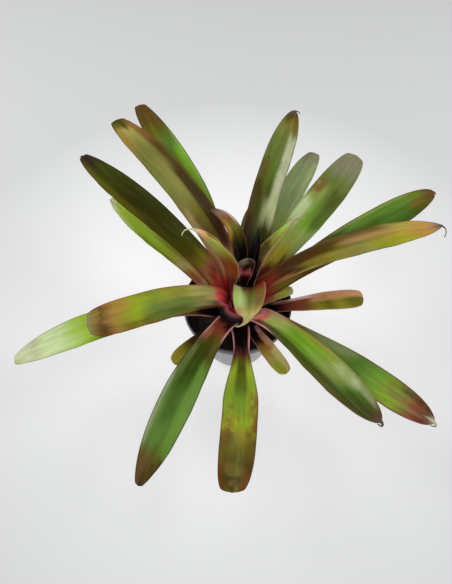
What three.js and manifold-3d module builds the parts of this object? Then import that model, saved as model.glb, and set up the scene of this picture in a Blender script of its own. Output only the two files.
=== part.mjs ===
// A potted air plant with a rosette of strap leaves (Tillandsia somnians), standing in a
// 10 cm nursery pot. Millimetres, +Z up. The origin is the centre of the pot's underside.
import * as THREE from 'three';
import { mergeVertices } from 'three/addons/utils/BufferGeometryUtils.js';
import Module from 'manifold-3d';

const wasm = await Module();
wasm.setup();

// Pot
const POT_RIM_RADIUS = 50;
const POT_FOOT_RADIUS = 34;
const POT_HEIGHT = 72;
const POT_WALL = 1.5;
const POT_FLOOR = 2;
const RIM_BAND = 7;
const RIM_STEP = 1.1;
const LIP_WIDTH = RIM_STEP + POT_WALL;
const DRAIN_RADIUS = 4;
const DRAIN_RING = 20;
const DRAIN_COUNT = 6;
const POT_SIDES = 48;
const FOOT_CHAMFER = 1;
const LIP_CHAMFER = 0.6;
const DRAIN_SIDES = 16;

// Potting mix and stem
const GAP = 0.3;
const SOIL_TOP = 57;
const SOIL_SWELL = 1.6;
const SOIL_FLAT = 1;
const STEM_RADIUS = 9;
const STEM_FOOT = 34;
const STEM_SIDES = 32;
const STEM_TAPER = 3;
const LUMP_WAVES = [7, 3];
const LUMP_TWIST = 0.6;
const SOIL_RINGS = [0.75, 0.5, 0.25];

// The stem's crown is a cone, and the leaves are seated up it, the oldest lowest and widest
const CROWN_CHAMFER = 2;
const CROWN_WIDEST = 20.5;
const CROWN_FOOT = 59;
const CROWN_SLOPE = 1;
const CROWN_LIP = 1.2;
const CROWN_SINK = 1.3;
const CROWN_DIP = 1.9;
const LEAN = 0.11;
const LEAN_FADE = 30;

// A leaf's thickness at the sheath, along the middle of the blade, at its margins and in its tail
const SHEATH_THICK = 0.75;
const MIDDLE_THICK = 1.1;
const MARGIN_THICK = 0.7;
const TAIL_THICK = 0.6;
const TAIL_TIP_WIDTH = 0.8;

// Shares of a leaf's length: where the sheath's wrap has opened to the blade's cup, where a
// rolled blade starts to roll and how long it takes, and where the thickness changes
const OPENED_AT = 0.34;
const ROLL_FROM = 0.15;
const ROLL_OVER = 0.5;
const THICKEN_FROM = 0.1;
const THICKEN_OVER = 0.3;
const THIN_FROM = 0.8;
const THIN_BY = 0.3;
const TAIL_STEPS = 12;
const SKIN_STEP = 0.004;
const COURSE_DIVISIONS = 200;

// Where along a leaf its rows of points lie (0 at the stem, 1 at the end of the blade),
// and how far round its trough (-1 and 1 at the margins)
const BLADE_ROWS = [0, 0.05, 0.12, 0.2, 0.29, 0.39, 0.5, 0.61, 0.72, 0.82, 0.91, 0.97, 1];
const TAIL_ROWS = [0.2, 0.45, 0.72, 1];
const ACROSS = [-1, -0.68, -0.34, 0, 0.34, 0.68, 1];

const USUAL_LEAF = {
  sheath: 21, waist: 18, waistAt: 0.22, widest: 0.62, end: 3, full: 2.6, round: 0.8,
  cup: 60, cupTip: 34, leave: 70, arrive: -5, rise: 0.3, fall: 0.4, sway: 0, roll: 0,
  tail: 0, hook: 60, veer: 0,
};

// The leaves from the oldest to the youngest. azimuth turns anticlockwise from +X; seat is the
// radius at which the sheath clasps the crown; reach and top place the end of the blade;
// leave and arrive are the slopes at the stem and at that end, in degrees.
const LEAVES = [
  { name: 'leaf_01', azimuth: 230.4, seat: 19.5, reach: 84, top: 82, leave: 45, rise: 0.2, width: 16,
    waist: 11, end: 6, full: 3, sway: 1.5, widest: 0.8 },
  { name: 'leaf_02', azimuth: 296.2, seat: 19.5, reach: 84.5, top: 89, leave: 38, rise: 0.15,
    arrive: 22, width: 15, waist: 13, end: 7, full: 4, round: 0.6 },
  { name: 'leaf_03', azimuth: 9, seat: 18.2, reach: 51, top: 80, leave: 66, rise: 0.25, arrive: 10,
    sheath: 15, width: 12, waist: 12, end: 4, full: 3, round: 0.5 },
  { name: 'leaf_04', azimuth: 141, seat: 19.5, reach: 159, top: 102, leave: 45, rise: 0.12, arrive: 8,
    width: 27, end: 3, full: 2.2, waist: 22 },
  { name: 'leaf_05', azimuth: 79.6, seat: 18.8, reach: 110, top: 84, leave: 40, rise: 0.15, sheath: 17,
    width: 22, end: 8, full: 2.2 },
  { name: 'leaf_06', azimuth: 354.9, seat: 19.5, reach: 109, top: 94, leave: 42, rise: 0.06, arrive: 2,
    sheath: 17, width: 19.5, waist: 12.5, end: 9, full: 4, round: 0.6, sway: -2.5, widest: 0.75 },
  { name: 'leaf_07', azimuth: 196.6, seat: 18.2, reach: 200, top: 70, leave: 52, rise: 0.3, arrive: -25,
    width: 29, end: 7, fall: 0.45, sway: 1, full: 2.2 },
  { name: 'leaf_08', azimuth: 267.8, seat: 18.2, reach: 161, top: 73, leave: 54, rise: 0.35,
    arrive: -22, sheath: 20, width: 28, waist: 14, waistAt: 0.3, widest: 0.6, end: 10, full: 5,
    round: 0.5, sway: 4.5 },
  { name: 'leaf_09', azimuth: 323.2, seat: 17, reach: 187, top: 80, leave: 55, rise: 0.2, arrive: -3,
    width: 28, widest: 0.66, full: 3.6, round: 0.7, tail: 11, hook: 150, veer: 0 },
  { name: 'leaf_10', azimuth: 63.4, seat: 17, reach: 190, top: 98, leave: 55, rise: 0.2, arrive: -10,
    sheath: 19, width: 26, end: 9 },
  { name: 'leaf_11', azimuth: 23.7, seat: 15.8, reach: 189, top: 135, leave: 72, rise: 0.12, arrive: 14,
    sheath: 19, width: 30, waist: 21, end: 7, full: 3.2, round: 0.7, tail: 5, hook: 70, veer: -60,
    sway: -2.4 },
  { name: 'leaf_12', azimuth: 245.5, seat: 17, reach: 174, top: 88, leave: 62, rise: 0.4, arrive: -15,
    width: 27.5, end: 4, full: 2.4 },
  { name: 'leaf_13', azimuth: 45.2, seat: 14.5, reach: 153, top: 148, leave: 70, rise: 0.2, arrive: 24,
    width: 33, waist: 23, end: 11, full: 3, round: 0.6, sway: -3 },
  { name: 'leaf_14', azimuth: 310.9, seat: 15.8, reach: 155, top: 101, leave: 66, rise: 0.35, arrive: 0,
    sheath: 20, width: 28, waist: 20, waistAt: 0.26, widest: 0.66, full: 2.4, round: 0.65, tail: 11,
    hook: 170, veer: 0 },
  { name: 'leaf_15', azimuth: 141.5, seat: 15.8, reach: 181, top: 143, leave: 66, rise: 0.35,
    arrive: 12, width: 28, waist: 22, end: 8, sway: 1, tail: 4, hook: 40, full: 2.4 },
  { name: 'leaf_16', azimuth: 118.5, seat: 13.2, reach: 200, top: 152, leave: 72, rise: 0.35, arrive: 8,
    width: 29, end: 8, full: 2.4, round: 0.65, widest: 0.5, sway: -1.5 },
  { name: 'leaf_17', azimuth: 129.5, seat: 11.9, reach: 172, top: 167, leave: 75, rise: 0.47, arrive: 4,
    width: 28.5, waist: 25, end: 9, full: 3.2, round: 0.65, sway: -3.2, widest: 0.5 },
  { name: 'leaf_18', azimuth: 71.8, seat: 10.4, reach: 178, top: 149, leave: 77, rise: 0.4, arrive: 0,
    sheath: 17, width: 26, waist: 26, full: 2.6, tail: 11, hook: 50, veer: -80, end: 6, sway: -1 },
  { name: 'leaf_19', azimuth: 198.6, seat: 10.6, reach: 129.5, top: 105, leave: 82, rise: 0.42,
    arrive: -6, width: 32, waist: 24, end: 13, sway: 4, full: 4.5, round: 0.6 },
  { name: 'leaf_20', azimuth: 14.4, seat: 9.3, reach: 182, top: 126, leave: 80, rise: 0.35, arrive: -12,
    sheath: 17, width: 25, full: 2.6, tail: 16, hook: 80, veer: -70, sway: -4.5, end: 3 },
  { name: 'leaf_21', azimuth: 42, seat: 8, reach: 63, top: 137.5, leave: 84, rise: 0.42, arrive: 20,
    sheath: 16.5, width: 25, waist: 18, widest: 0.5, full: 1.6, round: 1, cup: 190, cupTip: 110,
    roll: -42, tail: 9, hook: 70, veer: -60 },
  { name: 'leaf_22', azimuth: 274, seat: 8, reach: 48, top: 134, leave: 86, rise: 0.7, arrive: -30,
    sheath: 16.5, width: 26, waist: 21, widest: 0.75, end: 11, full: 3.2, round: 0.75, cup: 105,
    cupTip: 60, tail: 14, hook: 40, veer: -90, waistAt: 0.3 },
  { name: 'leaf_23', azimuth: 158, seat: 6.7, reach: 42, top: 155.5, leave: 72, rise: 0.26, arrive: 40,
    sheath: 14.5, width: 32, waist: 22, widest: 0.6, end: 5, full: 2.4, round: 0.9, cup: 150,
    cupTip: 95, roll: 45, tail: 12, hook: 125, veer: 0 },
  { name: 'leaf_24', azimuth: 68, seat: 5.5, reach: 34, top: 140, leave: 84, rise: 0.45, arrive: 30,
    sheath: 13, width: 19, waist: 11, waistAt: 0.3, widest: 0.45, full: 1, round: 1.1, cup: 95,
    cupTip: 70 },
  { name: 'leaf_25', azimuth: 120, seat: 4.3, reach: 52, top: 147, leave: 88, rise: 0.85, arrive: -41,
    sheath: 12, width: 14, waist: 12, widest: 0.6, full: 1.8, round: 1, cup: 98, cupTip: 54, tail: 4,
    hook: 60, veer: 40, sway: 1, roll: 0 },
  { name: 'leaf_26', azimuth: 95, seat: 2.7, reach: 8, top: 129, leave: 88, rise: 0.4, arrive: 80,
    sheath: 10, width: 15, waist: 9.5, widest: 0.85, end: 11, full: 4, round: 0.6, cup: 220,
    cupTip: 60 },
].map((row) => ({ ...USUAL_LEAF, ...row }));

// Finishes; the leaves from YOUNG_FROM on are the pale young ones
const GREEN = { color: 0x56752a, roughness: 0.42, metalness: 0 };
const YOUNG = { color: 0x7a8a4c, roughness: 0.5, metalness: 0 };
const PLASTIC = { color: 0x1c1d1f, roughness: 0.35, metalness: 0 };
const BARK = { color: 0x2b2019, roughness: 0.95, metalness: 0 };
const STEM = { color: 0x6d5a3c, roughness: 0.8, metalness: 0 };
const YOUNG_FROM = 22;

function smooth(x) {
  const c = THREE.MathUtils.clamp(x, 0, 1);
  return c * c * (3 - 2 * c);
}

function fromPolar(radius, angle, z) {
  return new THREE.Vector3(radius * Math.cos(angle), radius * Math.sin(angle), z);
}

function crownHeight(radius) {
  return CROWN_FOOT + CROWN_SLOPE * (CROWN_WIDEST - radius);
}

// A leaf's course in its own upright plane, as a cubic curve from the crown to the blade's end
function courseOf(leaf) {
  const leave = THREE.MathUtils.degToRad(leaf.leave);
  const arrive = THREE.MathUtils.degToRad(leaf.arrive);
  const start = new THREE.Vector2(leaf.seat, crownHeight(leaf.seat));
  const end = new THREE.Vector2(leaf.reach, leaf.top);
  const span = start.distanceTo(end);
  const rise = new THREE.Vector2(Math.cos(leave), Math.sin(leave)).multiplyScalar(leaf.rise * span);
  const fall = new THREE.Vector2(Math.cos(arrive), Math.sin(arrive)).multiplyScalar(leaf.fall * span);
  return new THREE.CubicBezierCurve(start, start.clone().add(rise), end.clone().sub(fall), end);
}

// The frame of a leaf at v: its centre, and the directions along, across and inward of the trough
function stationOf(leaf, course, v) {
  const azimuth = THREE.MathUtils.degToRad(leaf.azimuth);
  const out = fromPolar(1, azimuth, 0);
  const side = fromPolar(1, azimuth + Math.PI / 2, 0);
  const up = new THREE.Vector3(0, 0, 1);
  const onBlade = Math.min(v, 1);
  const flat = course.getPointAt(onBlade);
  const slope = course.getTangentAt(onBlade);
  const centre = out.clone().multiplyScalar(flat.x).addScaledVector(up, flat.y);
  centre.addScaledVector(side, leaf.sway * 4 * onBlade * (1 - onBlade));
  let along = out.clone().multiplyScalar(slope.x).addScaledVector(up, slope.y);
  const roll = THREE.MathUtils.degToRad(leaf.roll) * smooth((onBlade - ROLL_FROM) / ROLL_OVER);
  let inward = out.clone().multiplyScalar(-slope.y).addScaledVector(up, slope.x);
  inward.applyAxisAngle(along, roll);
  let across = side.clone().applyAxisAngle(along, roll);
  if (v > 1) {
    const blade = { along, inward, across };
    for (let i = 1; i <= TAIL_STEPS; i += 1) {
      const turn = ((v - 1) * i) / TAIL_STEPS;
      ({ along, inward, across } = turned(blade, leaf, turn));
      centre.addScaledVector(along, (leaf.tail * (v - 1)) / TAIL_STEPS);
    }
  }
  return { centre, along, across, inward };
}

// The blade's last directions, turned down by hook and sideways by veer along the dry tail
function turned(blade, leaf, share) {
  const hook = THREE.MathUtils.degToRad(leaf.hook * share);
  const veer = THREE.MathUtils.degToRad(leaf.veer * share);
  const spin = new THREE.Quaternion().setFromAxisAngle(blade.inward, veer);
  const nod = new THREE.Quaternion().setFromAxisAngle(blade.across, hook);
  const turn = spin.multiply(nod);
  return {
    along: blade.along.clone().applyQuaternion(turn),
    inward: blade.inward.clone().applyQuaternion(turn),
    across: blade.across.clone().applyQuaternion(turn),
  };
}

function widthOf(leaf, v) {
  if (v < leaf.waistAt) return leaf.sheath + (leaf.waist - leaf.sheath) * smooth(v / leaf.waistAt);
  if (v < leaf.widest) {
    const share = (v - leaf.waistAt) / (leaf.widest - leaf.waistAt);
    return leaf.waist + (leaf.width - leaf.waist) * smooth(share);
  }
  if (v <= 1) {
    const share = (v - leaf.widest) / (1 - leaf.widest);
    return leaf.end + (leaf.width - leaf.end) * (1 - share ** leaf.full) ** leaf.round;
  }
  return TAIL_TIP_WIDTH + (leaf.end - TAIL_TIP_WIDTH) * (2 - v) ** 3;
}

function bendOf(leaf, v) {
  const wrap = leaf.sheath / leaf.seat;
  const cup = THREE.MathUtils.degToRad(leaf.cup);
  const cupTip = THREE.MathUtils.degToRad(leaf.cupTip);
  if (v < OPENED_AT) return wrap + (cup - wrap) * smooth(v / OPENED_AT);
  return cup + (cupTip - cup) * smooth((v - OPENED_AT) / (1 - OPENED_AT));
}

// The crown leans a little towards +X, and the leaves near its axis go with it
function leaned(point) {
  const near = Math.exp(-(point.x ** 2 + point.y ** 2) / (2 * LEAN_FADE ** 2));
  point.x += LEAN * Math.max(point.z - CROWN_FOOT, 0) * near;
  return point;
}

function skinPoint(leaf, course, v, t) {
  const { centre, across, inward } = stationOf(leaf, course, v);
  const bend = bendOf(leaf, v);
  const radius = widthOf(leaf, v) / bend;
  const angle = (bend * t) / 2;
  return leaned(centre.addScaledVector(across, radius * Math.sin(angle))
    .addScaledVector(inward, radius * (1 - Math.cos(angle))));
}

function halfThickness(v, t) {
  if (v > 1) return TAIL_THICK / 2;
  const blade = MARGIN_THICK + (MIDDLE_THICK - MARGIN_THICK) * (1 - t * t);
  const thickened = smooth((v - THICKEN_FROM) / THICKEN_OVER);
  const thinned = 1 - THIN_BY * smooth((v - THIN_FROM) / (1 - THIN_FROM));
  return (SHEATH_THICK + (blade - SHEATH_THICK) * thickened * thinned) / 2;
}

function skinNormal(leaf, course, v, t) {
  const last = leaf.tail > 0 ? 2 : 1;
  const before = skinPoint(leaf, course, Math.max(v - SKIN_STEP, 0), t);
  const after = skinPoint(leaf, course, Math.min(v + SKIN_STEP, last), t);
  const lengthwise = after.sub(before);
  const left = skinPoint(leaf, course, v, t - SKIN_STEP);
  const crosswise = skinPoint(leaf, course, v, t + SKIN_STEP).sub(left);
  return crosswise.cross(lengthwise).normalize();
}

// Both faces of a leaf are split into triangles along the same diagonals
function leafGeometry(leaf) {
  const course = courseOf(leaf);
  course.arcLengthDivisions = COURSE_DIVISIONS;
  const rows = [...BLADE_ROWS, ...(leaf.tail > 0 ? TAIL_ROWS.map((u) => 1 + u) : [])];
  const positions = [];
  for (const face of [1, -1]) {
    for (const v of rows) {
      for (const t of ACROSS) {
        const normal = skinNormal(leaf, course, v, t);
        const point = skinPoint(leaf, course, v, t);
        point.addScaledVector(normal, face * halfThickness(v, t));
        positions.push(point.x, point.y, point.z);
      }
    }
  }
  const columns = ACROSS.length;
  const offset = rows.length * columns;
  const index = [];
  const quad = (a, b, c, d) => index.push(a, b, c, a, c, d);
  for (let i = 0; i + 1 < rows.length; i += 1) {
    for (let j = 0; j + 1 < columns; j += 1) {
      const a = i * columns + j;
      const b = a + 1;
      const c = b + columns;
      const d = a + columns;
      quad(a, b, c, d);
      index.push(offset + a, offset + c, offset + b, offset + a, offset + d, offset + c);
    }
    const left = i * columns;
    const right = left + columns - 1;
    quad(left, left + columns, offset + left + columns, offset + left);
    quad(right, offset + right, offset + right + columns, right + columns);
  }
  for (let j = 0; j + 1 < columns; j += 1) {
    const last = (rows.length - 1) * columns + j;
    quad(j, offset + j, offset + j + 1, j + 1);
    quad(last, last + 1, offset + last + 1, offset + last);
  }
  const geometry = new THREE.BufferGeometry();
  geometry.setAttribute('position', new THREE.Float32BufferAttribute(positions, 3));
  geometry.setIndex(index);
  geometry.computeVertexNormals();
  return geometry;
}

function latheOf(profile, sides) {
  const points = profile.map(([r, z]) => new THREE.Vector2(r, z));
  return new THREE.LatheGeometry(points, sides).rotateX(Math.PI / 2);
}

function solidOf(geometry) {
  const plain = geometry.clone();
  plain.deleteAttribute('normal');
  plain.deleteAttribute('uv');
  const merged = mergeVertices(plain, 1e-4);
  return new wasm.Manifold(new wasm.Mesh({
    numProp: 3,
    vertProperties: new Float32Array(merged.attributes.position.array),
    triVerts: new Uint32Array(merged.index.array),
  }));
}

function geometryOf(solid) {
  const mesh = solid.getMesh();
  const geometry = new THREE.BufferGeometry();
  geometry.setAttribute('position', new THREE.BufferAttribute(mesh.vertProperties, 3));
  geometry.setIndex(new THREE.BufferAttribute(mesh.triVerts, 1));
  geometry.computeVertexNormals();
  return geometry;
}

function potWallRadius(z) {
  return POT_FOOT_RADIUS + ((POT_RIM_RADIUS - RIM_STEP - POT_FOOT_RADIUS) * z) / (POT_HEIGHT - RIM_BAND);
}

// The pot is a thin tapered shell with a stepped band and a flat lip, and holes in its floor
function potGeometry() {
  const bandFoot = POT_HEIGHT - RIM_BAND;
  const inside = (z) => potWallRadius(z) - POT_WALL;
  let pot = solidOf(latheOf([
    [0, 0],
    [POT_FOOT_RADIUS - FOOT_CHAMFER, 0],
    [POT_FOOT_RADIUS, FOOT_CHAMFER],
    [potWallRadius(bandFoot - RIM_STEP), bandFoot - RIM_STEP],
    [POT_RIM_RADIUS, bandFoot],
    [POT_RIM_RADIUS, POT_HEIGHT - LIP_CHAMFER],
    [POT_RIM_RADIUS - LIP_CHAMFER, POT_HEIGHT],
    [POT_RIM_RADIUS - LIP_WIDTH, POT_HEIGHT],
    [inside(bandFoot), bandFoot],
    [inside(POT_FLOOR), POT_FLOOR],
    [0, POT_FLOOR],
  ], POT_SIDES));
  for (let i = 0; i < DRAIN_COUNT; i += 1) {
    const angle = (2 * Math.PI * i) / DRAIN_COUNT;
    const hole = new THREE.CylinderGeometry(DRAIN_RADIUS, DRAIN_RADIUS, 3 * POT_FLOOR, DRAIN_SIDES);
    hole.rotateX(Math.PI / 2);
    hole.translate(DRAIN_RING * Math.cos(angle), DRAIN_RING * Math.sin(angle), POT_FLOOR / 2);
    pot = pot.subtract(solidOf(hole));
  }
  return geometryOf(pot);
}

// The potting mix fills the pot to below its lip, lumpy on top, with a plain hole for the stem
function mixGeometry() {
  const edge = (z) => potWallRadius(z) - POT_WALL - GAP;
  const hole = STEM_RADIUS + GAP;
  const top = SOIL_RINGS.map((share) => [hole + (edge(SOIL_TOP) - hole) * share, SOIL_TOP]);
  const floor = STEM_FOOT - GAP;
  const profile = [
    [0, POT_FLOOR + GAP],
    [edge(POT_FLOOR + GAP), POT_FLOOR + GAP],
    [edge(SOIL_TOP), SOIL_TOP],
    ...top,
    [hole, SOIL_TOP],
    [hole, floor],
    [0, floor],
  ];
  const geometry = latheOf(profile, POT_SIDES);
  const position = geometry.attributes.position;
  for (let i = 0; i < position.count; i += 1) {
    const radius = Math.hypot(position.getX(i), position.getY(i));
    const inner = radius > hole + SOIL_FLAT && radius < edge(SOIL_TOP) - SOIL_FLAT;
    if (inner && position.getZ(i) > SOIL_TOP - SOIL_FLAT) {
      const angle = Math.atan2(position.getY(i), position.getX(i));
      const lump = Math.sin(LUMP_WAVES[0] * angle + radius)
        * Math.cos(LUMP_WAVES[1] * angle - LUMP_TWIST * radius);
      position.setZ(i, SOIL_TOP + (SOIL_SWELL * (lump - 1)) / 2);
    }
  }
  return geometry;
}

// The stem stands in its hole; above the mix it widens to the crown that the sheaths clasp
function stemGeometry() {
  const brow = CROWN_WIDEST - CROWN_CHAMFER / 2;
  const profile = [
    [0, STEM_FOOT],
    [STEM_RADIUS - STEM_TAPER, STEM_FOOT],
    [STEM_RADIUS, STEM_FOOT + STEM_TAPER],
    [STEM_RADIUS, SOIL_TOP + GAP],
    [CROWN_WIDEST - CROWN_CHAMFER, CROWN_FOOT - CROWN_LIP],
    [brow, crownHeight(brow) - CROWN_SINK],
    [0, crownHeight(0) - CROWN_SINK - CROWN_DIP],
  ];
  return latheOf(profile, STEM_SIDES);
}

function addPiece(group, name, geometry, finish) {
  const mesh = new THREE.Mesh(geometry, new THREE.MeshStandardMaterial(finish));
  mesh.name = name;
  group.add(mesh);
}

const group = new THREE.Group();
addPiece(group, 'pot', potGeometry(), PLASTIC);
addPiece(group, 'potting_mix', mixGeometry(), BARK);
addPiece(group, 'stem', stemGeometry(), STEM);
LEAVES.forEach((leaf, i) => {
  addPiece(group, leaf.name, leafGeometry(leaf), i < YOUNG_FROM ? GREEN : YOUNG);
});

export default group;
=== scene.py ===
# %% [markdown]
# # A potted strap-leaved air plant
# This lesson dresses a plain CAD model of Tillandsia somnians, a rosette plant in a nursery pot.
# The CAD nodes keep the sizes and the collision, and each visible piece here takes the place of
# one of them. We start by loading the CAD model as a fixed frame.
# %% Load the frame
import math
import bpy
import numpy as np
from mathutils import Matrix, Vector


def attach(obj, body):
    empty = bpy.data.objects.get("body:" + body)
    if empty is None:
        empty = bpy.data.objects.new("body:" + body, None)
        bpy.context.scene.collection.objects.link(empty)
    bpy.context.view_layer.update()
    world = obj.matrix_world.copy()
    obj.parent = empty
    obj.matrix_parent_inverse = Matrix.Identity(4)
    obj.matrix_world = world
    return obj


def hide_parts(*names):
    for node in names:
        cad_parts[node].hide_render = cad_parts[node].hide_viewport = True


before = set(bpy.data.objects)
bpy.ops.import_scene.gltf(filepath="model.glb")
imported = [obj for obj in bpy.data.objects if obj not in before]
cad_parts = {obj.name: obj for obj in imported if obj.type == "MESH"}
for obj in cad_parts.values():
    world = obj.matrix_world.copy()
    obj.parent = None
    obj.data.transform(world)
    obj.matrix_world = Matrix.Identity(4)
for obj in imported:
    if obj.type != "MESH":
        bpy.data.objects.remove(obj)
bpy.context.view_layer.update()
MM = 0.001

# %% [markdown]
# ## The camera
# The photo looks down on the plant at a steep angle from the front, from close by, so the front
# leaves look large. A real photographer would hold the camera about 42 cm above the table. We
# place it there and tilt it 58.3 degrees down. The long side of the picture is 584 pixels.
# %% Camera
PHOTO_SIZE = (452, 584)
SENSOR = 36.0
FOCAL_PIXELS = 438.0
PITCH_DOWN = 58.3
CAMERA_PLACE = (-10.5 * MM, -204 * MM, 420 * MM)
camera_data = bpy.data.cameras.new("photo_camera")
camera_data.sensor_width = SENSOR
camera_data.lens = FOCAL_PIXELS * SENSOR / max(PHOTO_SIZE)
camera_data.clip_start = 0.01
camera = bpy.data.objects.new("photo_camera", camera_data)
camera.location = CAMERA_PLACE
camera.rotation_euler = (math.radians(90 - PITCH_DOWN), 0, 0)
bpy.context.scene.collection.objects.link(camera)
bpy.context.scene.camera = camera
print("lens", camera_data.lens)

# %% [markdown]
# ## Small helpers
# Colours are written as sRGB hex values, as a paint chart gives them, and one function turns them
# into the linear numbers that Blender works with. One more function adds a node to a material,
# with its settings, values and links. An input can be a number, an output of another node, or a
# whole node, whose first output in use is then linked.
# %% Colour and node helpers


def linear(hex_code):
    """An sRGB hex value as three linear numbers."""
    parts = [int(hex_code[i:i + 2], 16) / 255 for i in (1, 3, 5)]
    return np.array([p / 12.92 if p <= 0.04045 else ((p + 0.055) / 1.055) ** 2.4 for p in parts])


def rgba(hex_code):
    """The same value with full alpha, for a colour socket."""
    return (*linear(hex_code), 1.0)


def node(tree, kind, inputs=None, **settings):
    """Add one node, with its settings, its socket values and its links."""
    new = tree.nodes.new(kind)
    for key, value in settings.items():
        setattr(new, key, value)
    for key, value in (inputs or {}).items():
        if isinstance(value, bpy.types.Node):
            value = next(output for output in value.outputs if output.enabled)
        if isinstance(value, bpy.types.NodeSocket):
            tree.links.new(value, new.inputs[key])
        else:
            new.inputs[key].default_value = value
    return new


def new_material(name):
    """A material with only its output node, and its node tree."""
    material = bpy.data.materials.new(name)
    material.use_nodes = True
    material.node_tree.nodes.clear()
    return material, material.node_tree


print("mid grey is", linear("#808080")[0])

# %% [markdown]
# ## The paint chart
# The plant is never one green. Its sheaths are nearly black with anthocyanin, their margins are
# pink, the blades go from olive to bright green, and the oldest tips are dry and brown. We name
# each tone once, so that a leaf's look reads like a recipe.
# %% Named tones
# Pale grey-green and whitish tones also serve as painted highlights, laid where the soft boxes gleam on a
# leaf.
TONES = {name: linear(code) for name, code in {
    "soot": "#0a0506", "maroon": "#2a1214", "burgundy": "#431c1c", "wine": "#5c2a24", "plum": "#6a3336",
    "cherry": "#873028", "scarlet": "#dc4048", "coral": "#c4524a", "rose": "#b0665e",
    "blush": "#cf9a92", "peach": "#c4906a", "salmon": "#ae765a", "tan": "#a07c5c", "rust": "#8f4c2a",
    "clay": "#7c4430", "sienna": "#7b5532", "brown": "#5c4028", "umber": "#46331c", "bistre": "#33261a",
    "bay": "#42280f", "tobacco": "#57431c", "taupe": "#8a7264", "slate": "#4f473c", "ash": "#857c66",
    "peat": "#24220a", "swamp": "#36360f", "moss": "#3c4210", "forest": "#2f4410", "leaf": "#4a6828",
    "grove": "#527030", "grass": "#668a38", "lime": "#7c942c", "pear": "#8c9c30", "lettuce": "#98b83e",
    "olive": "#56521a", "khaki": "#66611e", "hay": "#888030", "citron": "#7f9a1c", "amber": "#94783a",
    "sand": "#9a9052", "drab": "#72703a", "sagebrush": "#838344", "willow": "#627238",
    "sage": "#7c8c48", "celadon": "#78855a", "moleskin": "#7d7b60", "bloom": "#a9b184",
    "pistachio": "#afca7c", "milk": "#bccd98", "stone": "#b2b594", "straw": "#b8ab72",
    # Ember, flame and petal are brighter than the sheaths' pigment: painted light standing for the light
    # that shines through a thin sheath at the feet.
    "bone": "#d6cdb0", "ember": "#ee6264", "crimson": "#b02c28", "loam": "#483a10", "honey": "#b08a48",
    "mustard": "#a3943a", "quince": "#a6a844", "absinth": "#a8c44c", "fennel": "#98a858",
    "clover": "#749c34", "apricot": "#f8b884", "petal": "#f2a89c", "flame": "#ff7070",
    "char": "#2e1a0c", "whey": "#c6cea6", "azalea": "#c86a70", "mallow": "#d89a9c", "icing": "#e6c4c8",
    "kiwi": "#b4b854", "bronze": "#6c5020", "phlox": "#f884a4",
}.items()}
print(len(TONES), "tones")


# %% [markdown]
# ## The leaves' measures
# Each leaf grows as a sheath that clasps the crown of the stem and then opens into a trough-shaped
# blade. A breeder would describe one by where it points, how far and how high it reaches, how it
# leaves the crown and how it arches over. The same measures, in millimetres and degrees, made the
# CAD solids, so a fine leaf built from them lies exactly on its plain one.
# %% Measures of the crown and of a usual leaf
CROWN_FOOT = 59.0
CROWN_WIDEST = 20.5
LEAN = 0.11
LEAN_FADE = 30.0
OPENED_AT = 0.34
ROLL_FROM = 0.15
ROLL_OVER = 0.5
TAIL_STEPS = 12
TAIL_TIP_WIDTH = 0.8
SHEATH_THICK, MIDDLE_THICK, MARGIN_THICK, TAIL_THICK = 0.75, 1.1, 0.7, 0.6
THICKENS_FROM, THICKENS_OVER = 0.1, 0.3
THINS_FROM, THINS_OVER, THINS_BY = 0.8, 0.2, 0.3
USUAL_LEAF = dict(
    sheath=21, waist=18, waistAt=0.22, widest=0.62, end=3, full=2.6, round=0.8, cup=60, cupTip=34,
    leave=70, arrive=-5, rise=0.3, fall=0.4, sway=0, roll=0, tail=0, hook=60, veer=0)
print("a usual leaf is", USUAL_LEAF["waist"], "mm wide at its waist")

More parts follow.
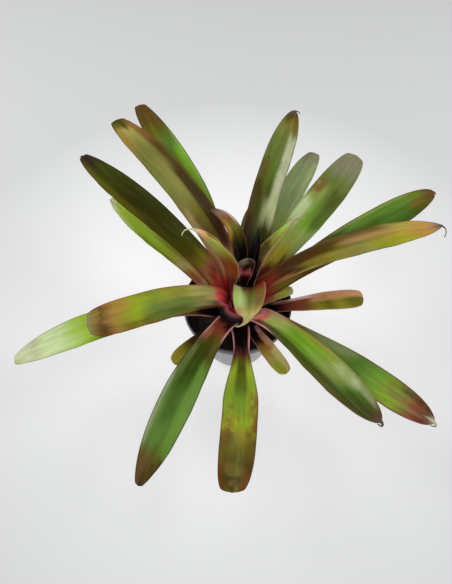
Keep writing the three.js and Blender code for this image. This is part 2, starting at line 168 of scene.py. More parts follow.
# %% The leaves, from the oldest to the youngest
LEAVES = [
    dict(name="leaf_01", azimuth=230.4, seat=19.5, reach=84, top=82, leave=45, rise=0.2, width=16,
         waist=11, end=6, full=3, sway=1.5, widest=0.8),
    dict(name="leaf_02", azimuth=296.2, seat=19.5, reach=84.5, top=89, leave=38, rise=0.15, arrive=22,
         width=15, waist=13, end=7, full=4, round=0.6),
    dict(name="leaf_03", azimuth=9, seat=18.2, reach=51, top=80, leave=66, rise=0.25, arrive=10,
         sheath=15, width=12, waist=12, end=4, full=3, round=0.5),
    dict(name="leaf_04", azimuth=141, seat=19.5, reach=159, top=102, leave=45, rise=0.12, arrive=8,
         width=27, end=3, full=2.2, waist=22),
    dict(name="leaf_05", azimuth=79.6, seat=18.8, reach=110, top=84, leave=40, rise=0.15, sheath=17,
         width=22, end=8, full=2.2),
    dict(name="leaf_06", azimuth=354.9, seat=19.5, reach=109, top=94, leave=42, rise=0.06, arrive=2,
         sheath=17, width=19.5, waist=12.5, end=9, full=4, round=0.6, sway=-2.5, widest=0.75),
    dict(name="leaf_07", azimuth=196.6, seat=18.2, reach=200, top=70, leave=52, rise=0.3, arrive=-25,
         width=29, end=7, fall=0.45, sway=1, full=2.2),
    dict(name="leaf_08", azimuth=267.8, seat=18.2, reach=161, top=73, leave=54, rise=0.35, arrive=-22,
         sheath=20, width=28, waist=14, waistAt=0.3, widest=0.6, end=10, full=5, round=0.5, sway=4.5),
    dict(name="leaf_09", azimuth=323.2, seat=17, reach=187, top=80, leave=55, rise=0.2, arrive=-3,
         width=28, widest=0.66, full=3.6, round=0.7, tail=11, hook=150, veer=0),
    dict(name="leaf_10", azimuth=63.4, seat=17, reach=190, top=98, leave=55, rise=0.2, arrive=-10,
         sheath=19, width=26, end=9),
    dict(name="leaf_11", azimuth=23.7, seat=15.8, reach=189, top=135, leave=72, rise=0.12, arrive=14,
         sheath=19, width=30, waist=21, end=7, full=3.2, round=0.7, tail=5, hook=70, veer=-60,
         sway=-2.4),
    dict(name="leaf_12", azimuth=245.5, seat=17, reach=174, top=88, leave=62, rise=0.4, arrive=-15,
         width=27.5, end=4, full=2.4),
    dict(name="leaf_13", azimuth=45.2, seat=14.5, reach=153, top=148, leave=70, rise=0.2, arrive=24,
         width=33, waist=23, end=11, full=3, round=0.6, sway=-3),
    dict(name="leaf_14", azimuth=310.9, seat=15.8, reach=155, top=101, leave=66, rise=0.35, arrive=0,
         sheath=20, width=28, waist=20, waistAt=0.26, widest=0.66, full=2.4, round=0.65, tail=11,
         hook=170, veer=0),
    dict(name="leaf_15", azimuth=141.5, seat=15.8, reach=181, top=143, leave=66, rise=0.35, arrive=12,
         width=28, waist=22, end=8, sway=1, tail=4, hook=40, full=2.4),
    dict(name="leaf_16", azimuth=118.5, seat=13.2, reach=200, top=152, leave=72, rise=0.35, arrive=8,
         width=29, end=8, full=2.4, round=0.65, widest=0.5, sway=-1.5),
    dict(name="leaf_17", azimuth=129.5, seat=11.9, reach=172, top=167, leave=75, rise=0.47, arrive=4,
         width=28.5, waist=25, end=9, full=3.2, round=0.65, sway=-3.2, widest=0.5),
    dict(name="leaf_18", azimuth=71.8, seat=10.4, reach=178, top=149, leave=77, rise=0.4, arrive=0,
         sheath=17, width=26, waist=26, full=2.6, tail=11, hook=50, veer=-80, end=6, sway=-1),
    dict(name="leaf_19", azimuth=198.6, seat=10.6, reach=129.5, top=105, leave=82, rise=0.42, arrive=-6,
         width=32, waist=24, end=13, sway=4, full=4.5, round=0.6),
    dict(name="leaf_20", azimuth=14.4, seat=9.3, reach=182, top=126, leave=80, rise=0.35, arrive=-12,
         sheath=17, width=25, full=2.6, tail=16, hook=80, veer=-70, sway=-4.5, end=3),
    dict(name="leaf_21", azimuth=42, seat=8, reach=63, top=137.5, leave=84, rise=0.42, arrive=20,
         sheath=16.5, width=25, waist=18, widest=0.5, full=1.6, round=1, cup=190, cupTip=110, roll=-42,
         tail=9, hook=70, veer=-60),
    dict(name="leaf_22", azimuth=274, seat=8, reach=48, top=134, leave=86, rise=0.7, arrive=-30,
         sheath=16.5, width=26, waist=21, widest=0.75, end=11, full=3.2, round=0.75, cup=105, cupTip=60,
         tail=14, hook=40, veer=-90, waistAt=0.3),
    dict(name="leaf_23", azimuth=158, seat=6.7, reach=42, top=155.5, leave=72, rise=0.26, arrive=40,
         sheath=14.5, width=32, waist=22, widest=0.6, end=5, full=2.4, round=0.9, cup=150, cupTip=95,
         roll=45, tail=12, hook=125, veer=0),
    dict(name="leaf_24", azimuth=68, seat=5.5, reach=34, top=140, leave=84, rise=0.45, arrive=30,
         sheath=13, width=19, waist=11, waistAt=0.3, widest=0.45, full=1, round=1.1, cup=95, cupTip=70),
    dict(name="leaf_25", azimuth=120, seat=4.3, reach=52, top=147, leave=88, rise=0.85, arrive=-41,
         sheath=12, width=14, waist=12, widest=0.6, full=1.8, round=1, cup=98, cupTip=54, tail=4,
         hook=60, veer=40, sway=1, roll=0),
    dict(name="leaf_26", azimuth=95, seat=2.7, reach=8, top=129, leave=88, rise=0.4, arrive=80,
         sheath=10, width=15, waist=9.5, widest=0.85, end=11, full=4, round=0.6, cup=220, cupTip=60),
]
LEAVES = [{**USUAL_LEAF, **row} for row in LEAVES]
print(len(LEAVES), "leaves")

# %% [markdown]
# ## The leaf's shape in numbers
# A leaf's middle line is one cubic curve in the upright plane that it grows in, and its section is
# an arc that is tightly wrapped at the stem and nearly open at the tip. We work out whole rows of
# points at once, which is quick and keeps the left and the right side alike.
# %% Course and section of a leaf


def smooth(x):
    """Ease from 0 to 1."""
    x = np.clip(x, 0, 1)
    return x * x * (3 - 2 * x)


def course_of(leaf, v, samples=800):
    """Points and slopes of a leaf's middle line at shares v of its length, and that length in mm."""
    start = np.array([leaf["seat"], CROWN_FOOT + CROWN_WIDEST - leaf["seat"]])
    end = np.array([leaf["reach"], leaf["top"]], float)
    span = np.linalg.norm(end - start)
    leave, arrive = math.radians(leaf["leave"]), math.radians(leaf["arrive"])
    first = start + leaf["rise"] * span * np.array([math.cos(leave), math.sin(leave)])
    second = end - leaf["fall"] * span * np.array([math.cos(arrive), math.sin(arrive)])
    u = np.linspace(0, 1, samples)[:, None]
    line = (1 - u)**3 * start + 3 * (1 - u)**2 * u * first + 3 * (1 - u) * u**2 * second + u**3 * end
    slope = 3 * (1 - u)**2 * (first - start) + 6 * (1 - u) * u * (second - first) + 3 * u**2 * (end - second)
    slope /= np.linalg.norm(slope, axis=1)[:, None]
    along = np.concatenate([[0], np.cumsum(np.linalg.norm(np.diff(line, axis=0), axis=1))])
    share = along / along[-1]
    flat = np.stack([np.interp(v, share, line[:, i]) for i in (0, 1)], axis=1)
    tilt = np.stack([np.interp(v, share, slope[:, i]) for i in (0, 1)], axis=1)
    return flat, tilt / np.linalg.norm(tilt, axis=1)[:, None], along[-1]


def width_of(leaf, v):
    """Width across the flattened leaf, with its waist, its widest place and its tail."""
    waist_at, widest = leaf["waistAt"], leaf["widest"]
    foot = leaf["sheath"] + (leaf["waist"] - leaf["sheath"]) * smooth(v / waist_at)
    blade = leaf["waist"] + (leaf["width"] - leaf["waist"]) * smooth((v - waist_at) / (widest - waist_at))
    share = np.clip((v - widest) / (1 - widest), 0, 1)
    tip = leaf["end"] + (leaf["width"] - leaf["end"]) * (1 - share**leaf["full"])**leaf["round"]
    tail = TAIL_TIP_WIDTH + (leaf["end"] - TAIL_TIP_WIDTH) * np.clip(2 - v, 0, 1)**3
    return np.select([v < waist_at, v < widest, v <= 1], [foot, blade, tip], tail)


def bend_of(leaf, v):
    """How far round the section's arc goes, in radians."""
    wrap, cup = leaf["sheath"] / leaf["seat"], math.radians(leaf["cup"])
    opening = wrap + (cup - wrap) * smooth(v / OPENED_AT)
    open_blade = cup + (math.radians(leaf["cupTip"]) - cup) * smooth((v - OPENED_AT) / (1 - OPENED_AT))
    return np.where(v < OPENED_AT, opening, open_blade)


def leaf_points(leaf, v, t, lift):
    """Points of the leaf's middle skin in mm; t runs from margin to margin, lift raises the skin."""
    azimuth = math.radians(leaf["azimuth"])
    out = np.array([math.cos(azimuth), math.sin(azimuth), 0])
    side = np.array([-math.sin(azimuth), math.cos(azimuth), 0])
    up = np.array([0, 0, 1.0])
    on_blade = np.minimum(v, 1)
    flat, slope, _ = course_of(leaf, on_blade)
    centre = flat[:, :1] * out + flat[:, 1:] * up
    centre = centre + side * (leaf["sway"] * 4 * on_blade * (1 - on_blade))[:, None]
    along = slope[:, :1] * out + slope[:, 1:] * up
    level = -slope[:, 1:] * out + slope[:, :1] * up
    roll = np.radians(leaf["roll"]) * smooth((on_blade - ROLL_FROM) / ROLL_OVER)[:, None]
    inward = level * np.cos(roll) - side * np.sin(roll)
    across = side * np.cos(roll) + level * np.sin(roll)
    past = np.clip(v - 1, 0, 1)[:, None]
    hook, veer = math.radians(leaf["hook"]), math.radians(leaf["veer"])

    def nodded(share):
        level_turn = along * np.cos(veer * share) + across * np.sin(veer * share)
        return level_turn * np.cos(hook * share) - inward * np.sin(hook * share)

    for i in range(1, TAIL_STEPS + 1):
        centre = centre + nodded(past * i / TAIL_STEPS) * leaf["tail"] * past / TAIL_STEPS
    level_turn = along * np.cos(veer * past) + across * np.sin(veer * past)
    across_end = across * np.cos(veer * past) - along * np.sin(veer * past)
    inward_end = inward * np.cos(hook * past) + level_turn * np.sin(hook * past)
    bend = bend_of(leaf, v)
    angle = (bend * t / 2)[:, None]
    radius = (width_of(leaf, v) / bend)[:, None]
    normal = inward_end * np.cos(angle) - across_end * np.sin(angle)
    points = centre + across_end * radius * np.sin(angle) + inward_end * radius * (1 - np.cos(angle))
    points = points + normal * lift[:, None]
    near = np.exp(-(points[:, 0]**2 + points[:, 1]**2) / (2 * LEAN_FADE**2))
    points[:, 0] += LEAN * np.maximum(points[:, 2] - CROWN_FOOT, 0) * near
    return points


def thickness_of(v, t):
    """Leaf thickness in mm: thicker along the middle, thin at the margins and in the tail."""
    blade = MARGIN_THICK + (MIDDLE_THICK - MARGIN_THICK) * (1 - t * t)
    thickened = smooth((v - THICKENS_FROM) / THICKENS_OVER)
    thickened = thickened * (1 - THINS_BY * smooth((v - THINS_FROM) / THINS_OVER))
    return np.where(v > 1, TAIL_THICK, SHEATH_THICK + (blade - SHEATH_THICK) * thickened)


print("leaf 20 is %.0f mm long" % course_of(LEAVES[19], np.array([1.0]))[2])

# %% [markdown]
# ## How the leaves are coloured
# On the real plant the colour changes along a leaf: a dark sheath, a reddish or olive neck, a green
# blade and a dry tip. On top of that lie soft patches, such as a sunburnt flank, and a thin coloured
# line follows each margin. Some washes are painted light: pale streaks over the wax are painted
# highlights where the soft boxes gleam, and a few dark washes and stops are painted shade. So a look
# is written as recipes: stops along the leaf, washes painted over them, and an edge. Shares along
# run from 0 at the stem to 1 at the tip. Shares across run from -1 to 1, and 1 is the margin on the
# anticlockwise side, seen from above. A stop is a tone and its place. A wash is a tone, where it
# starts and ends along, where it starts and ends across, its strength, and then how patchy it is, if
# it is patchy at all. An edge is a tone and its strength, and an underside of its own colours has
# stops too. Speckle is how strong the rust spots are and between which shares along. Dry is where
# the dead tip starts, and there is none when it lies past the leaf's end. A last setting tells how
# strong the pale streaks of wax and painted sheen are.
# %% Reading a look
WASH_VALUES = 7


def recipe(text):
    """Rows of a tone and its numbers, from text such as "soot 0, wine .4"."""
    rows = [row.split() for row in text.split(",")]
    return [(tone, *map(float, numbers)) for tone, *numbers in rows]


def look(stops, washes, edge, foot_edge="rose", under=None, speckle=(0, 0.6, 1), dry=0.93, waxy_and_sheen=0.5):
    """Everything that colours one leaf, with its recipes read and missing patchiness set to 0."""
    return dict(stops=recipe(stops), washes=[(*wash, 0.0)[:WASH_VALUES] for wash in recipe(washes)],
                edge=recipe(edge)[0], foot_edge=foot_edge, under=recipe(under) if under else None,
                speckle=speckle, dry=dry, waxy_and_sheen=waxy_and_sheen)


print(recipe("soot 0, wine .4"))

# %% Looks of the outer leaves
LOOKS = {
    "leaf_01": look(
        "soot 0, soot .34, bistre .5, tobacco .66, hay .76, mustard .87, mustard 1",
        "clay .5 .84 .1 1.2 .6, hay .84 1.1 .2 1.2 .5",
        edge="brown .6", dry=1.1),
    "leaf_02": look(
        "soot 0, soot .33, maroon .38, bay .42, sienna .49, amber .62, sand .72, sand .82, hay 1",
        "mallow .12 .28 .4 1.3 .7, tan .28 .5 .2 1.3 .7, tan .45 .68 .35 1.3 .55, "
        "straw .6 .88 .1 1.3 .75, pear .8 1.2 -1.3 .4 .6, straw .86 1.1 .4 1.3 .6, "
        "tan .5 .8 -1.3 -.85 .6",
        edge="blush .5", dry=1.1),
    "leaf_03": look(
        "tan 0, peach .12, peach .2, azalea .3, salmon .4, honey .5, straw .6, kiwi .7, kiwi .84, "
        "bloom 1",
        "stone .88 1.2 -1.2 -.2 .6, hay .6 .95 .2 1.3 .6",
        edge="bloom .6", foot_edge="blush", dry=1.1),
    "leaf_04": look(
        "maroon 0, sand .11, straw .15, salmon .2, honey .25, straw .31, quince .42, absinth .56, "
        "absinth .92, bone 1",
        "lettuce .44 .8 .5 1.3 .5, khaki .3 .6 -1.2 .1 .5, clay .14 .3 .3 1.2 .5, "
        "bone .9 1.1 .4 1.3 .6, khaki .34 .66 .78 1.3 .6, whey .72 .95 .74 1.3 .5",
        edge="citron .3"),
    "leaf_05": look(
        "burgundy 0, umber .25, willow .5, willow .8, olive 1",
        "slate .64 .9 .6 1.3 .8",
        edge="sage .6"),
    "leaf_06": look(
        "soot 0, soot .2, wine .3, clay .4, sienna .5, hay .6, khaki .7, hay .8, khaki .9, khaki 1",
        "taupe .14 .32 .5 1.3 .6, icing .32 .6 .68 1.3 .9, icing .82 1.1 .55 1.3 .35, "
        "rust .38 .56 .2 .6 .4, peach .52 .8 .15 1.3 .75 .2, peach .7 1.3 .3 1.3 .8 .2, "
        "clay .3 .5 -1.2 -.3 .4",
        edge="blush .35", dry=1.1),
    # Leaf 7: its pale outer third, from pistachio to whey, is a painted highlight of the soft boxes.
    "leaf_07": look(
        "soot 0, soot .12, maroon .15, khaki .2, olive .3, lime .42, lime .55, lettuce .63, "
        "pistachio .71, milk .76, milk .84, stone .89, whey .94, whey 1",
        "lettuce .64 .72 -1.2 .1 .5, citron .95 1.1 .2 1.2 .4, wine .08 .16 -1.3 -.2 .4",
        edge="slate .4", foot_edge="blush", speckle=(.3, .9, 1.02), dry=1.1, waxy_and_sheen=.6),
    "leaf_08": look(
        "soot 0, soot .27, burgundy .32, tobacco .355, pear .42, lime .52, lime .6, pear .68, "
        "hay .74, khaki .8, loam .88, loam 1",
        "moss .36 .54 -.4 .42 .85 .1, lime .5 .68 .5 1.3 .45, loam .72 1.1 .35 1.3 .5 .5, "
        "leaf .74 1.04 -.6 .5 .45 1, clay .6 .84 -1.2 -.3 .35 1, clay .56 .84 .4 1.2 .4 1, "
        "rust .84 1.02 -1.2 1.2 .16 1, olive .72 .84 -1.2 1.2 .4 .9, grove .5 .66 -.5 .3 .45 .2",
        edge="umber .6", foot_edge="mallow", speckle=(.75, .55, 1.0), dry=1.1),
    # Leaf 9: the grey-green celadon wash near the base of its upper side is a painted sheen.
    "leaf_09": look(
        "soot 0, burgundy .1, forest .22, olive .31, willow .42, willow .5, leaf .6, grass .7, "
        "lime .79, drab .85, clay .9, brown .97, stone 1",
        "celadon .3 .56 .45 1.2 .6 .2, lime .58 .84 -1.2 -.2 .45 .3, drab .76 .86 -.2 1.2 .5 .6, "
        "wine .87 1 -1.3 -.5 .6 .3, cherry .84 .98 -1.3 -.8 .5, umber .78 .98 .5 1.3 .55 .4, "
        "amber .87 .9 -1 .2 .4 .4",
        edge="plum .8", speckle=(.5, .62, .99), dry=.985),
}
print(len(LOOKS), "looks so far")

# %% Looks of the upper leaves
LOOKS.update({
    "leaf_10": look(
        "maroon 0, umber .2, sage .4, celadon .55, celadon .7, celadon .85, moleskin .95, moleskin 1",
        "bloom .5 .9 -1.2 -.5 .35, slate .9 1.1 .2 1.2 .3 .4",
        edge="sage .3", dry=.985),
    # Leaf 11: its coral foot is painted brighter than its pigment, for the light through the thin sheath.
    "leaf_11": look(
        "burgundy 0, ember .07, ember .11, mustard .15, mustard .2, amber .29, drab .4, forest .5, "
        "leaf .62, leaf .86, khaki .93, brown .985",
        "grass .55 .96 .3 1.2 .45, forest .6 .95 -1.2 -.3 .5, sienna .9 1.1 -.4 .6 .5 .8, "
        "fennel .5 .9 .82 1.3 .6, moss .52 .72 -.2 .5 .4, char .27 .36 -1.3 -.6 .5, "
        "clay .04 .14 -1.3 -.3 .5",
        edge="wine .8", foot_edge="clay", speckle=(.6, .84, 1), dry=.985),
    # Leaf 12: the stone and celadon washes along its left margin are a painted highlight.
    "leaf_12": look(
        "soot 0, soot .13, burgundy .18, clay .24, tobacco .29, moss .34, swamp .4, forest .5, "
        "grove .62, grove .82, olive .89, loam .945, bistre 1",
        "clay .13 .24 -1.3 .1 .8, salmon .22 .31 -1.1 -.4 .6, soot 0 .22 .5 1.3 .8, "
        "olive .26 .46 .45 1.3 .6, grass .44 .88 .3 1.3 .7 .1, willow .36 .54 -1.3 -.5 .6, "
        "celadon .55 .84 -1.3 -.72 .6, stone .52 .84 -1.3 -.88 .8, brown .86 1.1 -1.3 .2 .7 .8, "
        "umber .84 .96 .3 1.3 .5 .8, loam .85 1.1 .5 1.3 .6 .4, forest .42 .74 -.5 .16 .5 .1",
        edge="maroon .7", foot_edge="mallow", speckle=(.4, .55, 1), dry=1.1, waxy_and_sheen=.5),
    # Leaf 13: the milk wash on its upper side is a painted highlight.
    "leaf_13": look(
        "soot 0, wine .14, wine .2, mustard .27, mustard .33, fennel .4, fennel .46, clover .52, "
        "grass .6, willow .7, willow .82, moleskin .9, moleskin 1",
        "fennel .48 .76 .15 .9 .6, char .2 .33 -1.3 -.3 .8, milk .49 .66 .4 1.3 1, "
        "moss .52 .78 -1.0 -.2 .7, celadon .34 .52 -1.2 -.5 .6, tan .44 .53 .5 1.2 .4 .4, "
        "sienna .7 .8 .4 1 .5 .8",
        edge="willow .4", speckle=(.4, .62, .87), dry=.995, waxy_and_sheen=.5),
    # Leaf 14: the two pale washes on its upper flank are a painted highlight, the swamp wash on its lower
    # flank is painted shade, and its pink foot is painted brighter than its pigment, for the light through
    # the thin sheath.
    "leaf_14": look(
        "cherry 0, petal .08, petal .13, ember .16, straw .2, fennel .25, fennel .31, clover .4, "
        "clover .52, sage .64, sage .72, leaf .82, moss .92, umber .97, slate 1",
        "swamp .24 .95 -1.3 -.35 .85, wine .13 .24 -1.3 -.4 .8, bistre .16 .34 -1.3 -.3 .5, "
        "forest .3 .95 -.7 -.1 .35, bloom .66 .8 .25 .85 .5 .3, bloom .76 .94 .45 1.1 .55 .3, "
        "pear .42 .66 .5 1 .5 .3, straw .2 .34 .3 .8 .3, salmon .3 .62 .86 1.2 .6 .2, "
        "wine .1 .22 -1.3 -.3 .6, straw .16 .24 .3 1.2 .5, moss .8 .96 -.6 .2 .5 .2",
        edge="sienna .6", foot_edge="mallow", dry=.985, waxy_and_sheen=.8),
    # Leaf 15: its coral foot is painted brighter than its pigment, for the light through the thin sheath.
    "leaf_15": look(
        "wine 0, ember .07, ember .11, rust .15, salmon .2, hay .24, olive .3, moss .42, swamp .52, "
        "swamp .7, moss .8, moss .9, bistre .95, bistre 1",
        "khaki .55 .96 .5 1.3 .6 .1, moss .3 .9 -1.3 -.7 .5, peach .1 .2 .3 1.3 .9, "
        "olive .38 .6 .3 1.3 .5, sienna .15 .26 .5 1.2 .4, bay .4 .6 0 .8 .15 .2",
        edge="umber .5", foot_edge="plum", dry=.99),
    "leaf_16": look(
        "maroon 0, umber .25, leaf .45, grove .6, grove .75, olive .84, tobacco .89, tobacco .97, "
        "brown 1",
        "khaki .6 .88 -.1 1.2 .5 .2, clover .34 .72 -1.3 -.4 .9, pistachio .44 .8 -1.3 -.85 .3",
        edge="umber .7", dry=.99),
    "leaf_17": look(
        "burgundy 0, crimson .08, peach .16, peach .21, tan .26, tobacco .34, khaki .44, drab .52, "
        "sagebrush .58, drab .66, drab .78, sagebrush .86, sand .92, olive .955, loam 1",
        "scarlet .05 .13 .3 1.3 .9, cherry .12 .2 .5 1.3 .4, straw .24 .44 .5 1.3 .5, "
        "char .24 .64 -1.3 -.3 .9, bay .6 .86 -1.3 -.5 .8, sienna .8 .98 -1.3 -.5 .85, "
        "amber .74 .94 .3 1.3 .6 .2, willow .45 .8 .25 1.2 .5, tan .3 .5 .4 1.2 .3, "
        "sand .5 .72 -.3 .5 .25 .2, leaf .5 .72 -1.3 -.86 .6, moss .955 1.2 -.6 .6 .5 .5",
        edge="rust .5", speckle=(.35, .35, .8), dry=1.1, waxy_and_sheen=.5),
    # Leaf 18: the pale washes over the clockwise half of its blade are a painted highlight.
    "leaf_18": look(
        "soot 0, soot .18, peat .27, moss .38, moss .5, leaf .6, willow .7, willow .8, drab .9, "
        "tobacco .96, slate 1",
        "bloom .36 .46 -1.3 .05 .7 .1, bloom .4 .6 -1.3 -.3 .72 .1, stone .5 .82 -1.3 -.32 .75 .2, "
        "olive .3 .94 -.1 .25 .3 .2, bay .3 .54 .45 1.3 .6 .3, olive .54 .74 .3 1.2 .45 .4, "
        "brown .58 .66 .4 1.0 .5 .6, bronze .84 .95 -1.2 -.4 .6, maroon .2 .36 .4 1.2 .5",
        edge="brown .7", foot_edge="maroon", speckle=(.4, .3, .9), dry=.995, waxy_and_sheen=.7),
})
print(len(LOOKS), "looks so far")

# %% Looks of the inner leaves
LOOKS.update({
    # Leaf 19: its red foot and the flame wash are painted brighter than the pigment, for the light through
    # the thin sheath.
    "leaf_19": look(
        "maroon 0, scarlet .03, scarlet .09, ember .18, straw .24, sagebrush .31, willow .4, "
        "willow .6, pear .7, hay .79, amber .85, tobacco .91, hay .95, moleskin 1",
        "flame .05 .22 -1.3 -.05 1, phlox .14 .22 .2 1.3 .8, straw .26 .4 -1.3 -.2 .5, "
        "mustard .36 .56 -1.3 -.3 .5 .1, pear .52 .76 -1.3 -.3 .5 .1, honey .74 .88 -1.3 -.3 .6 .1, "
        "sienna .84 .98 -1.3 1.3 .35 .5, bistre .22 .28 .25 1.3 .85, taupe .29 .36 .25 .8 .5, "
        "maroon .25 .4 .75 1.3 .85, moss .42 .68 .3 1.3 .5 .1, tobacco .64 .8 .5 1.3 .5 .2, "
        "bay .88 .96 .2 1.3 .6",
        edge="cherry .6", foot_edge="cherry", speckle=(.2, .8, 1), dry=.99, waxy_and_sheen=.4),
    "leaf_20": look(
        "maroon 0, cherry .09, clay .19, bay .28, bay .33, tobacco .41, khaki .5, drab .6, hay .7, "
        "mustard .8, honey .87, honey .91, tan .95, slate 1",
        "bay .22 .5 .15 1.3 .75, coral .08 .21 -1.3 .2 .6, salmon .16 .28 -1.3 -.5 .7, "
        "hay .34 .52 -1.3 0 .5, sand .46 .66 -1.3 -.1 .4, straw .24 .4 -1.3 -.85 .6, "
        "pear .62 .84 -1.3 -.3 .5, salmon .52 .77 .2 .55 .55 .1, brown .46 .74 .62 1.3 .7, "
        "swamp .56 .84 .84 1.3 .7, sand .72 .86 .3 1.3 .4",
        edge="olive .5", foot_edge="sienna", dry=.975, waxy_and_sheen=.3),
    "leaf_21": look(
        "soot 0, soot .25, burgundy .36, burgundy .46, tan .52, hay .64, sagebrush .76, lettuce .87, "
        "bloom .95, straw 1",
        "peat .45 .68 .2 1.3 .75",
        under="soot 0, burgundy .3, burgundy .46, amber .52, sand .66, kiwi .8, bloom .9, sand 1",
        edge="tan .9", foot_edge="salmon", dry=.97),
    "leaf_22": look(
        "soot 0, soot .6, bistre .7, tobacco .78, willow .84, sage .9, sand .96, straw 1",
        "bloom .72 .94 -1.3 -.5 .7, pistachio .8 .93 -1.0 -.4 .7, pear .74 .94 -1.3 -.6 .4, "
        "cherry .56 .8 .45 1.3 .7, tobacco .78 .93 -.1 1.3 .55, sienna .78 .94 .45 1.3 .7, "
        "bloom .84 .95 -.5 -.2 .35 .2, rose .94 1.1 -1.3 -.7 .5",
        under="wine 0, cherry .4, brown .8, straw 1",
        edge="tan .5", foot_edge="tan", dry=.985, waxy_and_sheen=.5),
    "leaf_23": look(
        "soot 0, soot .45, bistre .56, hay .64, quince .72, kiwi .82, apricot .89, apricot .95, "
        "bone 1",
        "pear .7 .86 -1.2 -.3 .4",
        under="maroon 0, wine .4, rust .5, rust .62, amber .69, quince .77, kiwi .86, apricot .94, "
              "bone 1",
        edge="straw .6", foot_edge="rose", dry=.97),
    # Leaf 24: its blade is painted soot black, partly its own dark maroon and partly painted shade deep in
    # the heart.
    "leaf_24": look(
        "soot 0, soot .86, peat .94, moss 1",
        "soot .86 1.1 .1 1.3 .7, burgundy .42 .6 -1.3 -.3 .4",
        edge="peat .6", foot_edge="maroon", dry=1.1),
    "leaf_25": look(
        "soot 0, soot .56, peat .62, loam .67, khaki .74, sienna .8, taupe .88, brown .94, bay 1",
        "honey .68 .79 .2 1.3 .6, sienna .74 .86 .6 1.3 .6, bay .86 1.1 .3 1.3 .6, "
        "icing .75 .93 -1.3 -.78 .8",
        edge="brown .8", foot_edge="rose", dry=.985),
    "leaf_26": look(
        "soot 0, maroon .3, maroon .55, wine .63, azalea .7, wine .75, char .8, char .86, taupe .93, "
        "ash 1",
        "azalea .63 .8 -.7 -.2 .6, azalea .66 .82 .4 1.3 .8, char .79 1.2 -1.3 -.25 .85, "
        "taupe .85 1.1 .1 1.3 .6",
        edge="taupe .6", foot_edge="rose", dry=1.1),
})
print(len(LOOKS), "looks")

# %% [markdown]
# ## Painting a leaf
# The stops, washes and edge are worked out at every point of the leaf and kept as a colour
# attribute, which a material can read and which follows the leaf wherever it bends. The borders
# between tones are pushed to and fro in lengthwise fingers, as pigment runs between the veins, and
# a patchy wash is broken into blotches about 8 mm long, as on the scorched tips in the photo.
# %% Paint in numbers
EDGE_FROM, EDGE_TO = 0.9, 0.985
FOOT_EDGE_FROM, FOOT_EDGE_STRENGTH = 0.74, 0.85
FOOT_EDGE_STARTS, FOOT_EDGE_RISE = 0.05, 0.08
FOOT_EDGE_ENDS, FOOT_EDGE_FADE = 0.36, 0.12
WASH_SOFT_ALONG, WASH_SOFT_ACROSS = 0.08, 0.26
PATCH_LONG, PATCH_WIDE = 0.05, 0.5
FINE_PATCHES, FINE_SHARE = 2.3, 0.4
PATCH_FROM, PATCH_SOFT = 0.32, 0.36
LATTICE, LATTICE_START = 64, 9
FINGER_REACH = 0.011
FINGER_WAVES = ((5.1, 1.0), (11.3, 0.7), (23.7, 0.45), (41.9, 0.25))
UNDER_TONE, UNDER_STRENGTH = linear("#8a9377"), 0.32


def fingers(t, seed):
    """A small shift along the leaf that differs from vein to vein."""
    return sum(size * np.sin(rate * t + seed * (k + 1.7)) for k, (rate, size) in enumerate(FINGER_WAVES))


def value_noise(x, y, rng):
    """Random values on a square lattice, blended smoothly between its points."""
    table = rng.random((LATTICE, LATTICE))
    column, row = np.floor(x).astype(int), np.floor(y).astype(int)
    right, up = smooth(x - column), smooth(y - row)
    corner = [table[(column + i) % LATTICE, (row + j) % LATTICE] for i in (0, 1) for j in (0, 1)]
    low = corner[0] + (corner[2] - corner[0]) * right
    high = corner[1] + (corner[3] - corner[1]) * right
    return low + (high - low) * up


def blotches(v, t, seed):
    """Uneven patches, from 0 to 1."""
    rng = np.random.default_rng(int(seed * 1000))
    along, across = v / PATCH_LONG, t / PATCH_WIDE
    broad = value_noise(along + LATTICE_START, across + LATTICE_START, rng)
    fine = value_noise(FINE_PATCHES * along + LATTICE_START, FINE_PATCHES * across + LATTICE_START, rng)
    mixed = (1 - FINE_SHARE) * broad + FINE_SHARE * fine
    return smooth((mixed - PATCH_FROM) / PATCH_SOFT)


def blend(colour, tone, amount):
    """Move a colour towards a tone."""
    return colour + (tone - colour) * np.clip(amount, 0, 1)[:, None]


def stops_at(stops, v):
    """The colour along the leaf from its list of stops."""
    places = [place for _, place in stops]
    table = np.array([TONES[name] for name, _ in stops])
    return np.stack([np.interp(v, places, table[:, i]) for i in range(3)], axis=1)


def paint(view, v, t, seed, upper):
    """Colour of every point on one face of a leaf."""
    ragged = v + FINGER_REACH * fingers(t, seed)
    stops = view["stops"] if upper or view["under"] is None else view["under"]
    colour = stops_at(stops, np.clip(ragged, 0, 1))
    if upper:
        patches = blotches(v, t, seed)
        for tone, v0, v1, t0, t1, strength, patchy in view["washes"]:
            inside = (smooth((ragged - v0) / WASH_SOFT_ALONG + 0.5)
                      * smooth((v1 - ragged) / WASH_SOFT_ALONG + 0.5)
                      * smooth((t - t0) / WASH_SOFT_ACROSS + 0.5)
                      * smooth((t1 - t) / WASH_SOFT_ACROSS + 0.5))
            broken = 1 - patchy + patchy * 2 * patches
            colour = blend(colour, TONES[tone], strength * inside * broken)
    elif view["under"] is None:
        colour = blend(colour, UNDER_TONE, UNDER_STRENGTH * smooth((v - 0.2) / 0.3))
    rim = np.abs(t)
    foot = smooth((FOOT_EDGE_ENDS - v) / FOOT_EDGE_FADE)
    pink_foot = foot * smooth((v - FOOT_EDGE_STARTS) / FOOT_EDGE_RISE)
    tone, strength = view["edge"]
    at_edge = smooth((rim - EDGE_FROM) / (EDGE_TO - EDGE_FROM))
    at_foot_edge = smooth((rim - FOOT_EDGE_FROM) / (EDGE_TO - FOOT_EDGE_FROM))
    colour = blend(colour, TONES[tone], strength * at_edge * (1 - foot))
    return blend(colour, TONES[view["foot_edge"]], FOOT_EDGE_STRENGTH * at_foot_edge * pink_foot)


